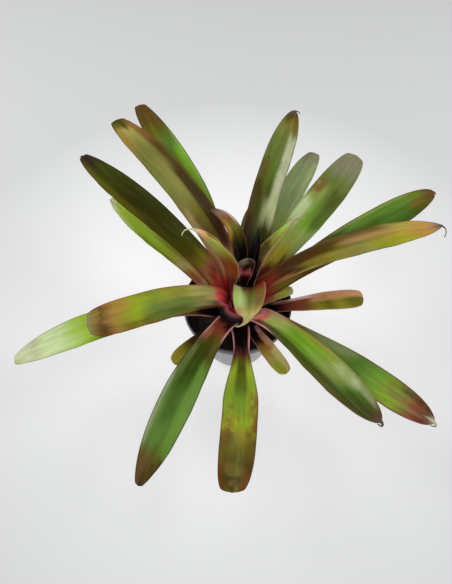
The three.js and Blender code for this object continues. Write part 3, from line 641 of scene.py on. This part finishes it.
sample = paint(LOOKS["leaf_07"], np.array([0.8]), np.array([0.0]), 1, True)
print("paint of leaf 7 near its tip", sample)

# %% [markdown]
# ## The leaf materials
# A Tillandsia leaf has a waxy skin with fine lengthwise veins, a light bloom of scales and a few
# rust spots. It reflects softly, since the scales scatter the light. We read the painted colour and
# break it up with veins about 0.7 mm apart, streaks about 3 mm apart and clouds about 12 mm apart,
# all drawn out along the leaf. Along the brightest streaks we mix in a pale tone, partly wax and
# partly a painted sheen. Then we add ragged rust spots, which sit in cells 3.6 mm wide, and let
# dry tissue turn matt. A young leaf is a little more tender, so it is smoother and its veins are
# shallower.
# %% Leaf materials
VEINS = (0.7 * MM, 26, 0.08)
STREAKS = (3.0 * MM, 13, 0.1)
CLOUDS = (12.0 * MM, 2.5, 0.07)
SPOT_SPACING = 3.6 * MM
SPOT_RAGGED = 1.5 * MM
SPOT_SHAKE = 1.2 * MM
LEAF_IOR = 1.45
SCALE_SCATTER = 0.08
WAX_AND_SHEEN_STRENGTH = 0.04
DRY_ROUGHER = 0.35


def leaf_material(name, roughness, coat, vein_depth):
    """Living leaf skin: painted colour, veins, streaks, pale streaks of wax and painted sheen, spots and a
    waxy coat.
    """
    material, tree = new_material(name)
    where = node(tree, "ShaderNodeUVMap", uv_map="blade")
    painted = node(tree, "ShaderNodeAttribute", attribute_name="blade_colour")
    speckle, dry, waxy_and_sheen = (node(tree, "ShaderNodeAttribute", attribute_name=kept).outputs["Fac"]
                          for kept in ("speckle", "dry", "waxy_and_sheen"))

    # Three patterns, each given by its spacing, how many times longer it is, and its contrast.
    patterns = []
    shade = 1.0
    for spacing, lengths, contrast in (VEINS, STREAKS, CLOUDS):
        drawn_out = node(tree, "ShaderNodeMapping", {"Vector": where, "Scale": (1, 1 / lengths, 1)})
        pattern = node(tree, "ShaderNodeTexNoise", {
            "Vector": drawn_out, "Scale": 1 / spacing, "Detail": 2.0, "Roughness": 0.55})
        light = node(tree, "ShaderNodeMapRange", {
            "Value": pattern, "From Min": 0.3, "From Max": 0.7,
            "To Min": 1 - contrast, "To Max": 1 + contrast})
        shade = node(tree, "ShaderNodeMath", {0: shade, 1: light}, operation="MULTIPLY")
        patterns.append(pattern)
    veins, streaks, clouds = patterns
    grey = node(tree, "ShaderNodeCombineColor", {0: shade, 1: shade, 2: shade})
    vivid = node(tree, "ShaderNodeHueSaturation", {"Saturation": 1.05, "Value": 0.97, "Color": painted})
    shaded = node(tree, "ShaderNodeMix", {0: 1.0, 6: vivid, 7: grey}, data_type="RGBA",
                  blend_type="MULTIPLY")
    # Pale streaks of a whitish green, partly wax and partly a painted sheen, as strong as each leaf asks.
    wax_and_sheen_streaks = node(tree, "ShaderNodeMapRange", {
        "Value": streaks, "From Min": 0.52, "From Max": 0.74, "To Max": WAX_AND_SHEEN_STRENGTH})
    wax_and_sheen_mix = node(tree, "ShaderNodeMath", {0: wax_and_sheen_streaks, 1: waxy_and_sheen}, operation="MULTIPLY")
    with_wax_and_sheen = node(tree, "ShaderNodeMix", {0: wax_and_sheen_mix, 6: shaded, 7: rgba("#d3dcc0")}, data_type="RGBA")

    # Rust spots: the cells' middles, shaken out of round, in two cells of five and in some clouds.
    ragged = node(tree, "ShaderNodeTexNoise", {"Vector": where, "Scale": 1 / SPOT_RAGGED, "Detail": 2.0})
    shaken = node(tree, "ShaderNodeMix", {0: SPOT_SHAKE, 4: where, 5: ragged.outputs["Color"]},
                  data_type="VECTOR")
    cells = node(tree, "ShaderNodeTexVoronoi", {
        "Vector": shaken, "Scale": 1 / SPOT_SPACING, "Randomness": 1.0})
    lot = node(tree, "ShaderNodeSeparateColor", {0: cells.outputs["Color"]})
    spot = speckle
    middle = cells.outputs["Distance"]
    for value, none, full in ((middle, 0.3, 0.16), (lot, 0.6, 0.64), (clouds, 0.42, 0.52)):
        here = node(tree, "ShaderNodeMapRange", {"Value": value, "From Min": none, "From Max": full})
        spot = node(tree, "ShaderNodeMath", {0: spot, 1: here}, operation="MULTIPLY")
    colour = node(tree, "ShaderNodeMix", {0: spot, 6: with_wax_and_sheen, 7: rgba("#6e3a1e")}, data_type="RGBA")

    streaked = node(tree, "ShaderNodeMapRange", {
        "Value": streaks, "From Min": 0.3, "From Max": 0.7,
        "To Min": roughness - 0.05, "To Max": roughness + 0.06})
    rough = node(tree, "ShaderNodeMath", {0: dry, 1: DRY_ROUGHER, 2: streaked}, operation="MULTIPLY_ADD")
    height = node(tree, "ShaderNodeMath", {0: streaks, 1: 2.0, 2: veins}, operation="MULTIPLY_ADD")
    bump = node(tree, "ShaderNodeBump", {"Height": height, "Strength": 0.5, "Distance": vein_depth})
    skin = node(tree, "ShaderNodeBsdfPrincipled", {
        "Base Color": colour, "Roughness": rough, "IOR": LEAF_IOR, "Normal": bump,
        "Specular IOR Level": SCALE_SCATTER,
        "Coat Weight": coat, "Coat Roughness": 0.3, "Coat IOR": 1.4})
    node(tree, "ShaderNodeOutputMaterial", {"Surface": skin})
    return material


LEAF_GREEN = leaf_material("waxy_leaf_skin", 0.42, 0.03, 0.05 * MM)
LEAF_YOUNG = leaf_material("tender_leaf_skin", 0.38, 0.05, 0.04 * MM)
print(LEAF_GREEN.name, LEAF_YOUNG.name)

# %% [markdown]
# ## Growing a leaf
# A real leaf is one thin sheet that thickens along its middle. We start from a flat grid, the
# simplest even sheet, lay its rows along the leaf's course and its columns across the section, and
# let Solidify give the sheet its thickness. The margins ripple a little, a shallow groove runs
# along the middle, and a dry tip is crumpled, as the zoomed photo shows.
# %% Fine form of a leaf
GROOVE, GROOVE_WIDE = 0.2, 0.16
GROOVE_STARTS, GROOVE_SOFT, GROOVE_FADES = 0.2, 0.2, 0.1
RIPPLE, RIPPLE_WAVES = 0.22, (28, 44)
RIPPLE_ACROSS_FROM = 0.45
RIPPLE_STARTS, RIPPLE_SOFT, RIPPLE_FADES = 0.3, 0.2, 0.06
SMALL_RIPPLE, SMALL_WAVE = 0.4, 0.43
CRUMPLE, CRUMPLES_ACROSS, CRUMPLES_ALONG = 0.3, 7, 24
CRUMPLE_SOFT, CRUMPLE_ENDS, CRUMPLE_FADES = 0.04, 1.5, 0.5
TAIL_TUCK, TUCK_OVER = 0.35, 0.3
TIP_ROUNDING, TIP_LEAST = 0.3, 0.03


def fine_form(v, t, length, seed, dry_from):
    """How far the skin is lifted off its plain course, in mm."""
    on_blade = np.minimum(v, 1)
    lift = -GROOVE * np.exp(-(t / GROOVE_WIDE)**2)
    lift = lift * smooth((on_blade - GROOVE_STARTS) / GROOVE_SOFT) * smooth((1 - on_blade) / GROOVE_FADES)
    along = smooth((on_blade - RIPPLE_STARTS) / RIPPLE_SOFT) * smooth((1 - on_blade) / RIPPLE_FADES)
    rng = np.random.default_rng(seed)
    for side in (-1, 1):
        wave = rng.uniform(*RIPPLE_WAVES)
        shift = rng.uniform(0, math.tau)
        turns = math.tau * length * on_blade / wave
        ripple = np.sin(turns + shift) + SMALL_RIPPLE * np.sin(turns / SMALL_WAVE + 2 * shift)
        at_margin = smooth((side * t - RIPPLE_ACROSS_FROM) / (1 - RIPPLE_ACROSS_FROM))
        lift += RIPPLE * ripple * at_margin * along
    crumpled = smooth((v - dry_from) / CRUMPLE_SOFT) * smooth((CRUMPLE_ENDS - v) / CRUMPLE_FADES)
    shift = rng.uniform(0, math.tau)
    folds = np.sin(CRUMPLES_ACROSS * t + CRUMPLES_ALONG * v + shift)
    lift += CRUMPLE * crumpled * folds
    return lift - TAIL_TUCK * smooth((v - 1) / TUCK_OVER)


def tapered_tip(leaf, v, length):
    """Share of the width that is left where the corners of a blade's end are rounded off."""
    if leaf["tail"]:
        return np.ones_like(v)
    rounding = TIP_ROUNDING * leaf["end"] / length
    share = np.clip((v - (1 - rounding)) / rounding, 0, 1)
    return np.sqrt(np.maximum(1 - share**2, TIP_LEAST))


print("margins ripple by", RIPPLE, "mm")

# %% A grid with the leaf's rows and columns
ACROSS_HALF = (0, 0.12, 0.25, 0.38, 0.5, 0.61, 0.71, 0.8, 0.87, 0.93, 0.97, 1)
COLUMNS = np.array([-t for t in ACROSS_HALF[:0:-1]] + list(ACROSS_HALF))
ROWS = np.concatenate([np.linspace(0, 0.9, 82)[:-1], np.linspace(0.9, 1, 20)])
TAIL_ROWS = np.linspace(1, 2, 15)[1:]
MARGIN_TAPER = ((0, 0.87, 0.93, 0.97, 1), (1, 1, 0.92, 0.75, 0.4))


def points_of(mesh):
    """Every vertex of a mesh, one row each."""
    places = np.empty(len(mesh.vertices) * 3)
    mesh.vertices.foreach_get("co", places)
    return places.reshape(-1, 3)


def blade_grid(name, rows):
    """A flat grid, and the shares along and across the leaf of each of its vertices."""
    bpy.ops.object.select_all(action="DESELECT")
    bpy.ops.mesh.primitive_grid_add(x_subdivisions=len(COLUMNS) - 1, y_subdivisions=len(rows) - 1, size=2)
    piece = bpy.context.object
    piece.name = name
    piece.data.name = name
    flat = points_of(piece.data)
    t = COLUMNS[np.rint((flat[:, 0] + 1) / 2 * (len(COLUMNS) - 1)).astype(int)]
    v = rows[np.rint((flat[:, 1] + 1) / 2 * (len(rows) - 1)).astype(int)]
    return piece, v, t


def thicken(piece, thick):
    """Turn the sheet into a solid with its own thickness in mm at each vertex."""
    group = piece.vertex_groups.new(name="thickness")
    for index, weight in enumerate(thick / MIDDLE_THICK):
        group.add([index], float(weight), "REPLACE")
    solid = piece.modifiers.new("thickness", "SOLIDIFY")
    solid.thickness = MIDDLE_THICK * MM
    solid.offset = 0
    solid.vertex_group = "thickness"
    solid.use_rim = True
    bpy.ops.object.modifier_apply(modifier="thickness")
    piece.vertex_groups.clear()


print(len(COLUMNS), "columns and", len(ROWS), "rows to a blade")

# %% Paint and a flat map, kept on the mesh
PAINT_SEED = 2.399
SPECKLE_RISE, SPECKLE_FALL = 0.12, 0.08
DRY_SOFT = 0.03
# The pale streaks of wax and painted sheen fade in from here along the leaf.
WAX_AND_SHEEN_FROM, WAX_AND_SHEEN_SOFT = 0.15, 0.2


def keep_paint(mesh, view, v, t, number, upper_first):
    """Store the colour, rust spots, dryness, and the wax with its painted sheen, of both skins."""
    skins = (True, False) if upper_first else (False, True)
    both = np.concatenate([paint(view, v, t, number * PAINT_SEED, upper) for upper in skins])
    colour = mesh.attributes.new("blade_colour", "FLOAT_COLOR", "POINT")
    colour.data.foreach_set("color", np.column_stack([np.clip(both, 0, 1), np.ones(len(both))]).ravel())
    strength, start, stop = view["speckle"]
    marks = {
        "speckle": strength * smooth((v - start) / SPECKLE_RISE) * smooth((stop - v) / SPECKLE_FALL + 0.5),
        "dry": smooth((v - view["dry"]) / DRY_SOFT),
        "waxy_and_sheen": view["waxy_and_sheen"] * smooth((v - WAX_AND_SHEEN_FROM) / WAX_AND_SHEEN_SOFT)}
    for name, values in marks.items():
        layer = mesh.attributes.new(name, "FLOAT", "POINT")
        layer.data.foreach_set("value", np.tile(values, 2).astype(np.float32))


def lay_flat(mesh, leaf, v, t, length, number):
    """A UV map of the flattened leaf in metres, one metre further along for each leaf."""
    across = width_of(leaf, v) * t / 2 * MM
    along = (np.minimum(v, 1) * length + np.maximum(v - 1, 0) * leaf["tail"]) * MM
    flat_leaf = np.tile(np.column_stack([across, along + number]), (2, 1))
    corners = np.empty(len(mesh.loops), int)
    mesh.loops.foreach_get("vertex_index", corners)
    for layer in list(mesh.uv_layers):
        mesh.uv_layers.remove(layer)
    mesh.uv_layers.new(name="blade").data.foreach_set("uv", flat_leaf[corners].ravel())


print("spots fade in over", SPECKLE_RISE, "of a leaf")

# %% One leaf from start to finish
FORM_SEED = 40


def grow(leaf, view, number, material):
    """Build one leaf from a grid and give it its paint."""
    rows = np.concatenate([ROWS, TAIL_ROWS]) if leaf["tail"] else ROWS
    piece, v, t = blade_grid("blade_" + leaf["name"][-2:], rows)
    mesh = piece.data
    _, _, length = course_of(leaf, v[:1])
    lift = fine_form(v, t, length, FORM_SEED + number, view["dry"])
    drawn = t * tapered_tip(leaf, v, length)
    skin = leaf_points(leaf, v, drawn, lift)
    upwards = leaf_points(leaf, v, drawn, lift + 1) - skin
    mesh.vertices.foreach_set("co", (skin * MM).ravel())
    thicken(piece, thickness_of(v, t) * np.interp(np.abs(t), *MARGIN_TAPER))
    first, second = points_of(mesh).reshape(2, -1, 3)
    keep_paint(mesh, view, v, t, number, np.sum((first - second) * upwards) > 0)
    lay_flat(mesh, leaf, v, t, length, number)
    mesh.materials.append(material)
    bpy.ops.object.shade_smooth()
    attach(piece, "root")
    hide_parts(leaf["name"])
    return piece


print("seed of the first leaf's form is", FORM_SEED)

# %% Grow all the leaves
YOUNG_FROM = 22
for number, leaf in enumerate(LEAVES):
    young = number >= YOUNG_FROM
    blade = grow(leaf, LOOKS[leaf["name"]], number, LEAF_YOUNG if young else LEAF_GREEN)
print("leaves grown, the last has", len(blade.data.polygons), "faces")

# %% [markdown]
# ## The nursery pot
# A nursery pot is one thin shell of glossy black plastic with a stepped band under its lip, drawn
# straight up out of a mould. We start from a disc and extrude it ring by ring along the wall, as
# the moulder's drawing goes, then over the lip and down the inside. Its drain holes are cut
# through the floor, and at last its sharp edges are eased with a bevel.
# %% Pot shell
POT_STEPS = ((34, 1), (48.65, 63.9), (50, 65), (50, 71.4), (49.4, 72), (47.4, 72), (47.4, 65), (32.8, 2))
POT_SIDES = 128
FOOT_RADIUS = 33.0
WALL_OUTSIDE, FOOT_SHADOW_TOP, BAND_FROM = 33.5, 2.0, 63.5
DRAIN_RADIUS, DRAIN_RING, DRAIN_COUNT, DRAIN_SIDES = 4.0, 20.0, 6, 32
EASED_EDGE = 0.25


def turned(name, sides, foot, steps, low):
    """Extrude a disc ring by ring along a profile of radius and height, in mm."""
    bpy.ops.object.select_all(action="DESELECT")
    bpy.ops.mesh.primitive_circle_add(vertices=sides, radius=foot * MM, fill_type="NGON",
                                      location=(0, 0, low * MM))
    piece = bpy.context.object
    piece.name = name
    piece.data.name = name
    bpy.ops.object.transform_apply(location=True, rotation=False, scale=False)
    bpy.ops.object.mode_set(mode="EDIT")
    bpy.ops.mesh.select_all(action="SELECT")
    radius, height = foot, low
    for next_radius, next_height in steps:
        bpy.ops.mesh.extrude_region_move(
            TRANSFORM_OT_translate={"value": (0, 0, (next_height - height) * MM)})
        share = next_radius / radius
        bpy.ops.transform.resize(value=(share, share, 1), center_override=(0, 0, next_height * MM))
        radius, height = next_radius, next_height
    bpy.ops.mesh.select_all(action="SELECT")
    bpy.ops.mesh.remove_doubles(threshold=1e-6)
    bpy.ops.mesh.normals_make_consistent(inside=False)
    bpy.ops.object.mode_set(mode="OBJECT")
    return piece


print("the pot's profile has", len(POT_STEPS), "steps")

# %% Turn the pot and cut its drain holes
pot = turned("nursery_pot", POT_SIDES, FOOT_RADIUS, POT_STEPS, 0)
for hole in range(DRAIN_COUNT):
    turn = math.tau * (hole + 0.5) / DRAIN_COUNT
    bpy.ops.mesh.primitive_cylinder_add(
        vertices=DRAIN_SIDES, radius=DRAIN_RADIUS * MM, depth=10 * MM,
        location=(DRAIN_RING * MM * math.cos(turn), DRAIN_RING * MM * math.sin(turn), 0))
    cutter = bpy.context.object
    cut = pot.modifiers.new("drain", "BOOLEAN")
    cut.operation = "DIFFERENCE"
    cut.solver = "EXACT"
    cut.object = cutter
    bpy.ops.object.select_all(action="DESELECT")
    bpy.context.view_layer.objects.active = pot
    bpy.ops.object.modifier_apply(modifier="drain")
    bpy.data.objects.remove(cutter)
pot.select_set(True)
soften = pot.modifiers.new("edges", "BEVEL")
soften.width = EASED_EDGE * MM
soften.segments = 2
soften.limit_method = "ANGLE"
soften.angle_limit = math.radians(30)
bpy.ops.object.modifier_apply(modifier="edges")
bpy.ops.object.shade_smooth_by_angle(angle=math.radians(35))

print("pot has", len(pot.data.polygons), "faces")

# %% [markdown]
# ## The pot's plastic
# The pot is injection-moulded polypropylene. It is black inside and on the lip, charcoal on the
# band, and a paler grey on the wall below the band. A thin black band at the foot is a painted
# contact shadow. It is fairly glossy, with the faint rings that a lathe leaves in the mould, 1.6 mm
# apart, and with dust in patches about 11 mm wide.
# %% Moulded plastic
RING_SPACING, RING_DEPTH = 1.6 * MM, 0.03 * MM
DUST_PATCH = 11.1 * MM


def moulded_plastic(name, tone, dusty_tone, roughness):
    """Glossy moulded plastic with lathe rings and a thin film of dust."""
    material, tree = new_material(name)
    place = node(tree, "ShaderNodeTexCoord").outputs["Object"]
    height = node(tree, "ShaderNodeSeparateXYZ", {0: place}).outputs["Z"]
    turns = node(tree, "ShaderNodeMath", {0: height, 1: math.tau / RING_SPACING}, operation="MULTIPLY")
    rings = node(tree, "ShaderNodeMath", {0: turns}, operation="SINE")
    bump = node(tree, "ShaderNodeBump", {"Height": rings, "Strength": 0.3, "Distance": RING_DEPTH})
    dust = node(tree, "ShaderNodeTexNoise", {"Vector": place, "Scale": 1 / DUST_PATCH, "Detail": 6.0})
    dusty = node(tree, "ShaderNodeMapRange", {
        "Value": dust, "From Min": 0.45, "From Max": 0.75, "To Max": 0.5})
    dulled = node(tree, "ShaderNodeMapRange", {
        "Value": dust, "From Min": 0.3, "From Max": 0.7, "To Min": roughness, "To Max": roughness + 0.14})
    colour = node(tree, "ShaderNodeMix", {0: dusty, 6: rgba(tone), 7: rgba(dusty_tone)}, data_type="RGBA")
    plastic = node(tree, "ShaderNodeBsdfPrincipled", {
        "Base Color": colour, "Roughness": dulled, "IOR": 1.5, "Normal": bump})
    node(tree, "ShaderNodeOutputMaterial", {"Surface": plastic})
    return material


PLASTICS = (("black_moulded_plastic", "#0e0f10", "#2a2b2c", 0.28),
            ("grey_moulded_plastic", "#8c8d8e", "#989999", 0.3),
            ("charcoal_moulded_plastic", "#3c3d40", "#55565a", 0.22))
BLACK, GREY, CHARCOAL = range(3)
for plastic_look in PLASTICS:
    pot.data.materials.append(moulded_plastic(*plastic_look))
# Outer faces in the lowest 2 mm stay black: a painted contact shadow at the foot.
for face in pot.data.polygons:
    outward = face.center.xy.dot(face.normal.xy) > 0 and face.center.xy.length > WALL_OUTSIDE * MM
    if outward and face.center.z > BAND_FROM * MM:
        face.material_index = CHARCOAL
    elif outward and FOOT_SHADOW_TOP * MM < face.center.z < BAND_FROM * MM:
        face.material_index = GREY
    else:
        face.material_index = BLACK
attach(pot, "root")
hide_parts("pot")
print("pot has", len(pot.data.materials), "plastics")

# %% [markdown]
# ## The potting mix
# Air plants in nursery pots stand in coarse bark. The mix is one settled body with an uneven top,
# and loose flakes lie on it. We turn the body from a disc, push its top up and down, and scatter
# flakes that are made once and copied with their own mesh, then join them to one piece.
# %% Bark mix
MIX_FOOT, MIX_TOP = 2.3, 57.0
STEM_HOLE, HOLE_FOOT = 9.6, 33.5
POT_FOOT, POT_FLARE, FLARE_HEIGHT = 34, 14.9, 65
POT_WALL, MIX_GAP = 1.5, 0.35
LUMP, SETTLED = 0.45, 0.5


def mix_radius(height):
    """The mix fills the pot to just inside its wall."""
    return POT_FOOT + POT_FLARE * height / FLARE_HEIGHT - POT_WALL - MIX_GAP


top_rings = [(mix_radius(MIX_TOP) * share, MIX_TOP) for share in np.linspace(1, 0.22, 26)[1:]]
hole_steps = [(STEM_HOLE, MIX_TOP - 1), (STEM_HOLE, HOLE_FOOT)]
mix = turned("bark_mix", POT_SIDES, mix_radius(MIX_FOOT),
             [(mix_radius(MIX_TOP), MIX_TOP)] + top_rings + hole_steps, MIX_FOOT)
grains = points_of(mix.data) / MM
x, y, z = grains.T
ring = np.hypot(x, y)
on_top = (z > MIX_TOP - 0.01) & (ring > STEM_HOLE + 0.5) & (ring < mix_radius(MIX_TOP) - 0.5)
lumps = (np.sin(x * 0.83 + 1.1) * np.cos(y * 0.71) + 0.7 * np.sin(x * 1.9 - y * 1.3)
         + 0.5 * np.cos(y * 2.7 + 0.4))
grains[on_top, 2] += LUMP * lumps[on_top] - SETTLED
mix.data.vertices.foreach_set("co", (grains * MM).ravel())
print("mix stands", round(float(grains[:, 2].max()), 1), "mm high")

# %% Loose flakes
FLAKE_COUNT = 240
FLAKE_SIZE = (5.2, 3.6, 1.5)
FLAKES_FROM, FLAKES_TO = 20, 44
FLAKE_TILT, FLAKE_JITTER = 0.35, 0.06
rng = np.random.default_rng(11)
bpy.ops.object.select_all(action="DESELECT")
bpy.ops.mesh.primitive_cube_add(size=1)
flake = bpy.context.object
flake.name = "flake"
bevel = flake.modifiers.new("worn", "BEVEL")
bevel.width = 0.18
bevel.segments = 1
bpy.ops.object.modifier_apply(modifier="worn")
flakes = [flake]
for _ in range(FLAKE_COUNT):
    copy = flake.copy()
    copy.data = flake.data.copy()
    bpy.context.scene.collection.objects.link(copy)
    flakes.append(copy)
for chip in flakes:
    reach = math.sqrt(rng.uniform(FLAKES_FROM**2, FLAKES_TO**2))
    turn = rng.uniform(0, math.tau)
    size = rng.uniform(0.6, 1.0)
    jitter = rng.normal(0, FLAKE_JITTER, (len(chip.data.vertices), 3))
    for vertex, shift in zip(chip.data.vertices, jitter):
        vertex.co += Vector(shift)
    chip.location = (reach * math.cos(turn) * MM, reach * math.sin(turn) * MM,
                     (MIX_TOP + rng.uniform(-0.6, 0.4)) * MM)
    chip.scale = [side * size * MM for side in FLAKE_SIZE]
    chip.rotation_euler = (rng.normal(0, FLAKE_TILT), rng.normal(0, FLAKE_TILT), rng.uniform(0, math.tau))
    chip.select_set(True)
mix.select_set(True)
bpy.context.view_layer.objects.active = mix
bpy.ops.object.join()
bpy.ops.object.shade_smooth_by_angle(angle=math.radians(40))

print(len(flakes), "flakes joined to the mix")

# %% [markdown]
# ## Bark
# Composted pine bark is dark red-brown and matt. Its chips, about 4 mm wide, differ in tone, and
# their torn fibres, about 1.4 mm apart, are paler. A cell pattern gives each chip its tone, and
# noise gives the fibres, which are raised a little.
# %% Bark material
CHIP_WIDTH = 3.85 * MM
FIBRE_SPACING = 1.43 * MM
bark, tree = new_material("composted_bark")
place = node(tree, "ShaderNodeTexCoord").outputs["Object"]
grain = node(tree, "ShaderNodeTexNoise", {"Vector": place, "Scale": 1 / FIBRE_SPACING, "Detail": 5.0})
chips = node(tree, "ShaderNodeTexVoronoi", {"Vector": place, "Scale": 1 / CHIP_WIDTH})
chip_tone = node(tree, "ShaderNodeSeparateColor", {0: chips.outputs["Color"]})
chip_colour = node(tree, "ShaderNodeMix", {0: chip_tone, 6: rgba("#140e0b"), 7: rgba("#2c1f16")},
                   data_type="RGBA")
torn = node(tree, "ShaderNodeMapRange", {"Value": grain, "From Min": 0.5, "From Max": 0.75, "To Max": 0.6})
bark_colour = node(tree, "ShaderNodeMix", {0: torn, 6: chip_colour, 7: rgba("#4a3828")}, data_type="RGBA")
bark_bump = node(tree, "ShaderNodeBump", {"Height": grain, "Strength": 0.8, "Distance": 0.4 * MM})
matt = node(tree, "ShaderNodeBsdfPrincipled", {
    "Base Color": bark_colour, "Roughness": 0.85, "IOR": 1.4, "Normal": bark_bump})
node(tree, "ShaderNodeOutputMaterial", {"Surface": matt})
mix.data.materials.append(bark)
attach(mix, "root")
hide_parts("potting_mix")
print("mix has", len(mix.data.polygons), "faces")

# %% [markdown]
# ## The stem
# The stem is a short woody stub under the rosette. It shows only between the sheaths from below.
# It is turned like the pot, with shallow rings where old leaves were shed, and widens to a crown.
# %% Stem
STEM_FOOT = (7, 34)
SCARS, SCAR_DEPTH, SCAR_SPACING = 16, 0.25, 1.35
SCAR_STEPS = [(9 - SCAR_DEPTH * (ring % 2), 37 + SCAR_SPACING * ring) for ring in range(SCARS)]
CROWN_STEPS = [(18.5, 57.8), (19.5, 58.7), (14, 63.75), (8, 69.2), (2, 74.6)]
stem = turned("stem_stub", 96, STEM_FOOT[0], SCAR_STEPS + CROWN_STEPS, STEM_FOOT[1])
bpy.ops.object.shade_smooth_by_angle(angle=math.radians(40))
print("stem has", len(stem.data.polygons), "faces")

# %% [markdown]
# ## Stem tissue
# Dead sheath tissue on the stub is nearly black and matt, with fibres 2 mm apart. The crown, from
# 64 mm up, is pink with the anthocyanin of the young sheaths, so we blend the two by height.
# %% Stem material
STEM_FIBRE = 2 * MM
PINK_FROM, PINK_TO = 64 * MM, 68 * MM
tissue, tree = new_material("dry_stem_tissue")
place = node(tree, "ShaderNodeTexCoord").outputs["Object"]
height = node(tree, "ShaderNodeSeparateXYZ", {0: place}).outputs["Z"]
fibre = node(tree, "ShaderNodeTexNoise", {"Vector": place, "Scale": 1 / STEM_FIBRE, "Detail": 4.0})
fibrous = node(tree, "ShaderNodeMapRange", {"Value": fibre, "From Min": 0.35, "From Max": 0.65})
dead_colour = node(tree, "ShaderNodeMix", {0: fibrous, 6: rgba("#0c0607"), 7: rgba("#1c1012")},
                   data_type="RGBA")
crown = node(tree, "ShaderNodeMapRange", {"Value": height, "From Min": PINK_FROM, "From Max": PINK_TO})
stem_colour = node(tree, "ShaderNodeMix", {0: crown, 6: dead_colour, 7: rgba("#c0606a")}, data_type="RGBA")
stem_bump = node(tree, "ShaderNodeBump", {"Height": fibre, "Strength": 0.6, "Distance": 0.3 * MM})
stub = node(tree, "ShaderNodeBsdfPrincipled", {
    "Base Color": stem_colour, "Roughness": 0.75, "IOR": 1.4, "Normal": stem_bump})
node(tree, "ShaderNodeOutputMaterial", {"Surface": stub})
stem.data.materials.append(tissue)
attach(stem, "root")
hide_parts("stem")
print("stem is covered in", tissue.name)

# %% [markdown]
# ## Table and light
# The plant stands on a plain white acrylic table that glows faintly from below, which is how a
# product photographer takes the shadow away. Around the plant it is a little brighter than at the
# edges. Soft boxes at the left, at the right and over the camera add a soft gloss to the leaves,
# whose pale streaks are painted highlights, and a dim white surround fills the shade.
# %% Glowing table
GLOW_CENTRE = (0, 60 * MM, 0)
GLOW_NEAR, GLOW_FAR = 80 * MM, 340 * MM
GLOW_STRONG, GLOW_WEAK = 0.62, 0.3
bpy.ops.object.select_all(action="DESELECT")
bpy.ops.mesh.primitive_plane_add(size=6)
table = bpy.context.object
table.name = "acrylic_table"
acrylic, tree = new_material("white_acrylic")
place = node(tree, "ShaderNodeTexCoord").outputs["Object"]
away = node(tree, "ShaderNodeVectorMath", {0: place, 1: GLOW_CENTRE}, operation="DISTANCE").outputs["Value"]
near = node(tree, "ShaderNodeMapRange", {
    "Value": away, "From Min": GLOW_NEAR, "From Max": GLOW_FAR, "To Min": 1.0, "To Max": 0.0})
strength = node(tree, "ShaderNodeMapRange", {"Value": near, "To Min": GLOW_WEAK, "To Max": GLOW_STRONG})
white = node(tree, "ShaderNodeMix", {0: near, 6: rgba("#f6f7f8"), 7: rgba("#ffffff")}, data_type="RGBA")
glow = node(tree, "ShaderNodeEmission", {"Color": white, "Strength": strength})
matt_face = node(tree, "ShaderNodeBsdfPrincipled", {"Base Color": rgba("#a3a4a5"), "Roughness": 0.8})
both = node(tree, "ShaderNodeAddShader", {0: glow, 1: matt_face})
node(tree, "ShaderNodeOutputMaterial", {"Surface": both})
table.data.materials.append(acrylic)
print("table glows from", GLOW_WEAK, "to", GLOW_STRONG)

# %% Lamps and surround
AIM = (0, 0, 0.1)
SOFT_BOXES = {
    "left_box": dict(place=(-0.95, 0.4, 0.95), size=0.6, power=8.0),
    "right_box": dict(place=(1.0, 0.15, 1.05), size=0.6, power=8.4),
    "front_box": dict(place=(-0.1, -0.75, 1.4), size=1.0, power=8.4)}
SURROUND = 0.31


def lamp(name, place, size, power):
    """A square soft box that faces the plant."""
    data = bpy.data.lights.new(name, "AREA")
    data.shape = "SQUARE"
    data.size = size
    data.energy = power
    soft_box = bpy.data.objects.new(name, data)
    soft_box.location = place
    soft_box.rotation_euler = (Vector(AIM) - Vector(place)).to_track_quat("-Z", "Y").to_euler()
    bpy.context.scene.collection.objects.link(soft_box)


for name, box in SOFT_BOXES.items():
    lamp(name, **box)
world = bpy.data.worlds.new("studio")
bpy.context.scene.world = world
world.use_nodes = True
surround = world.node_tree.nodes["Background"]
surround.inputs["Color"].default_value = rgba("#f7f6f3")
surround.inputs["Strength"].default_value = SURROUND
bpy.context.scene.view_settings.view_transform = "Standard"
bpy.context.scene.view_settings.exposure = 0
print("lit by", len(SOFT_BOXES), "soft boxes and the surround")
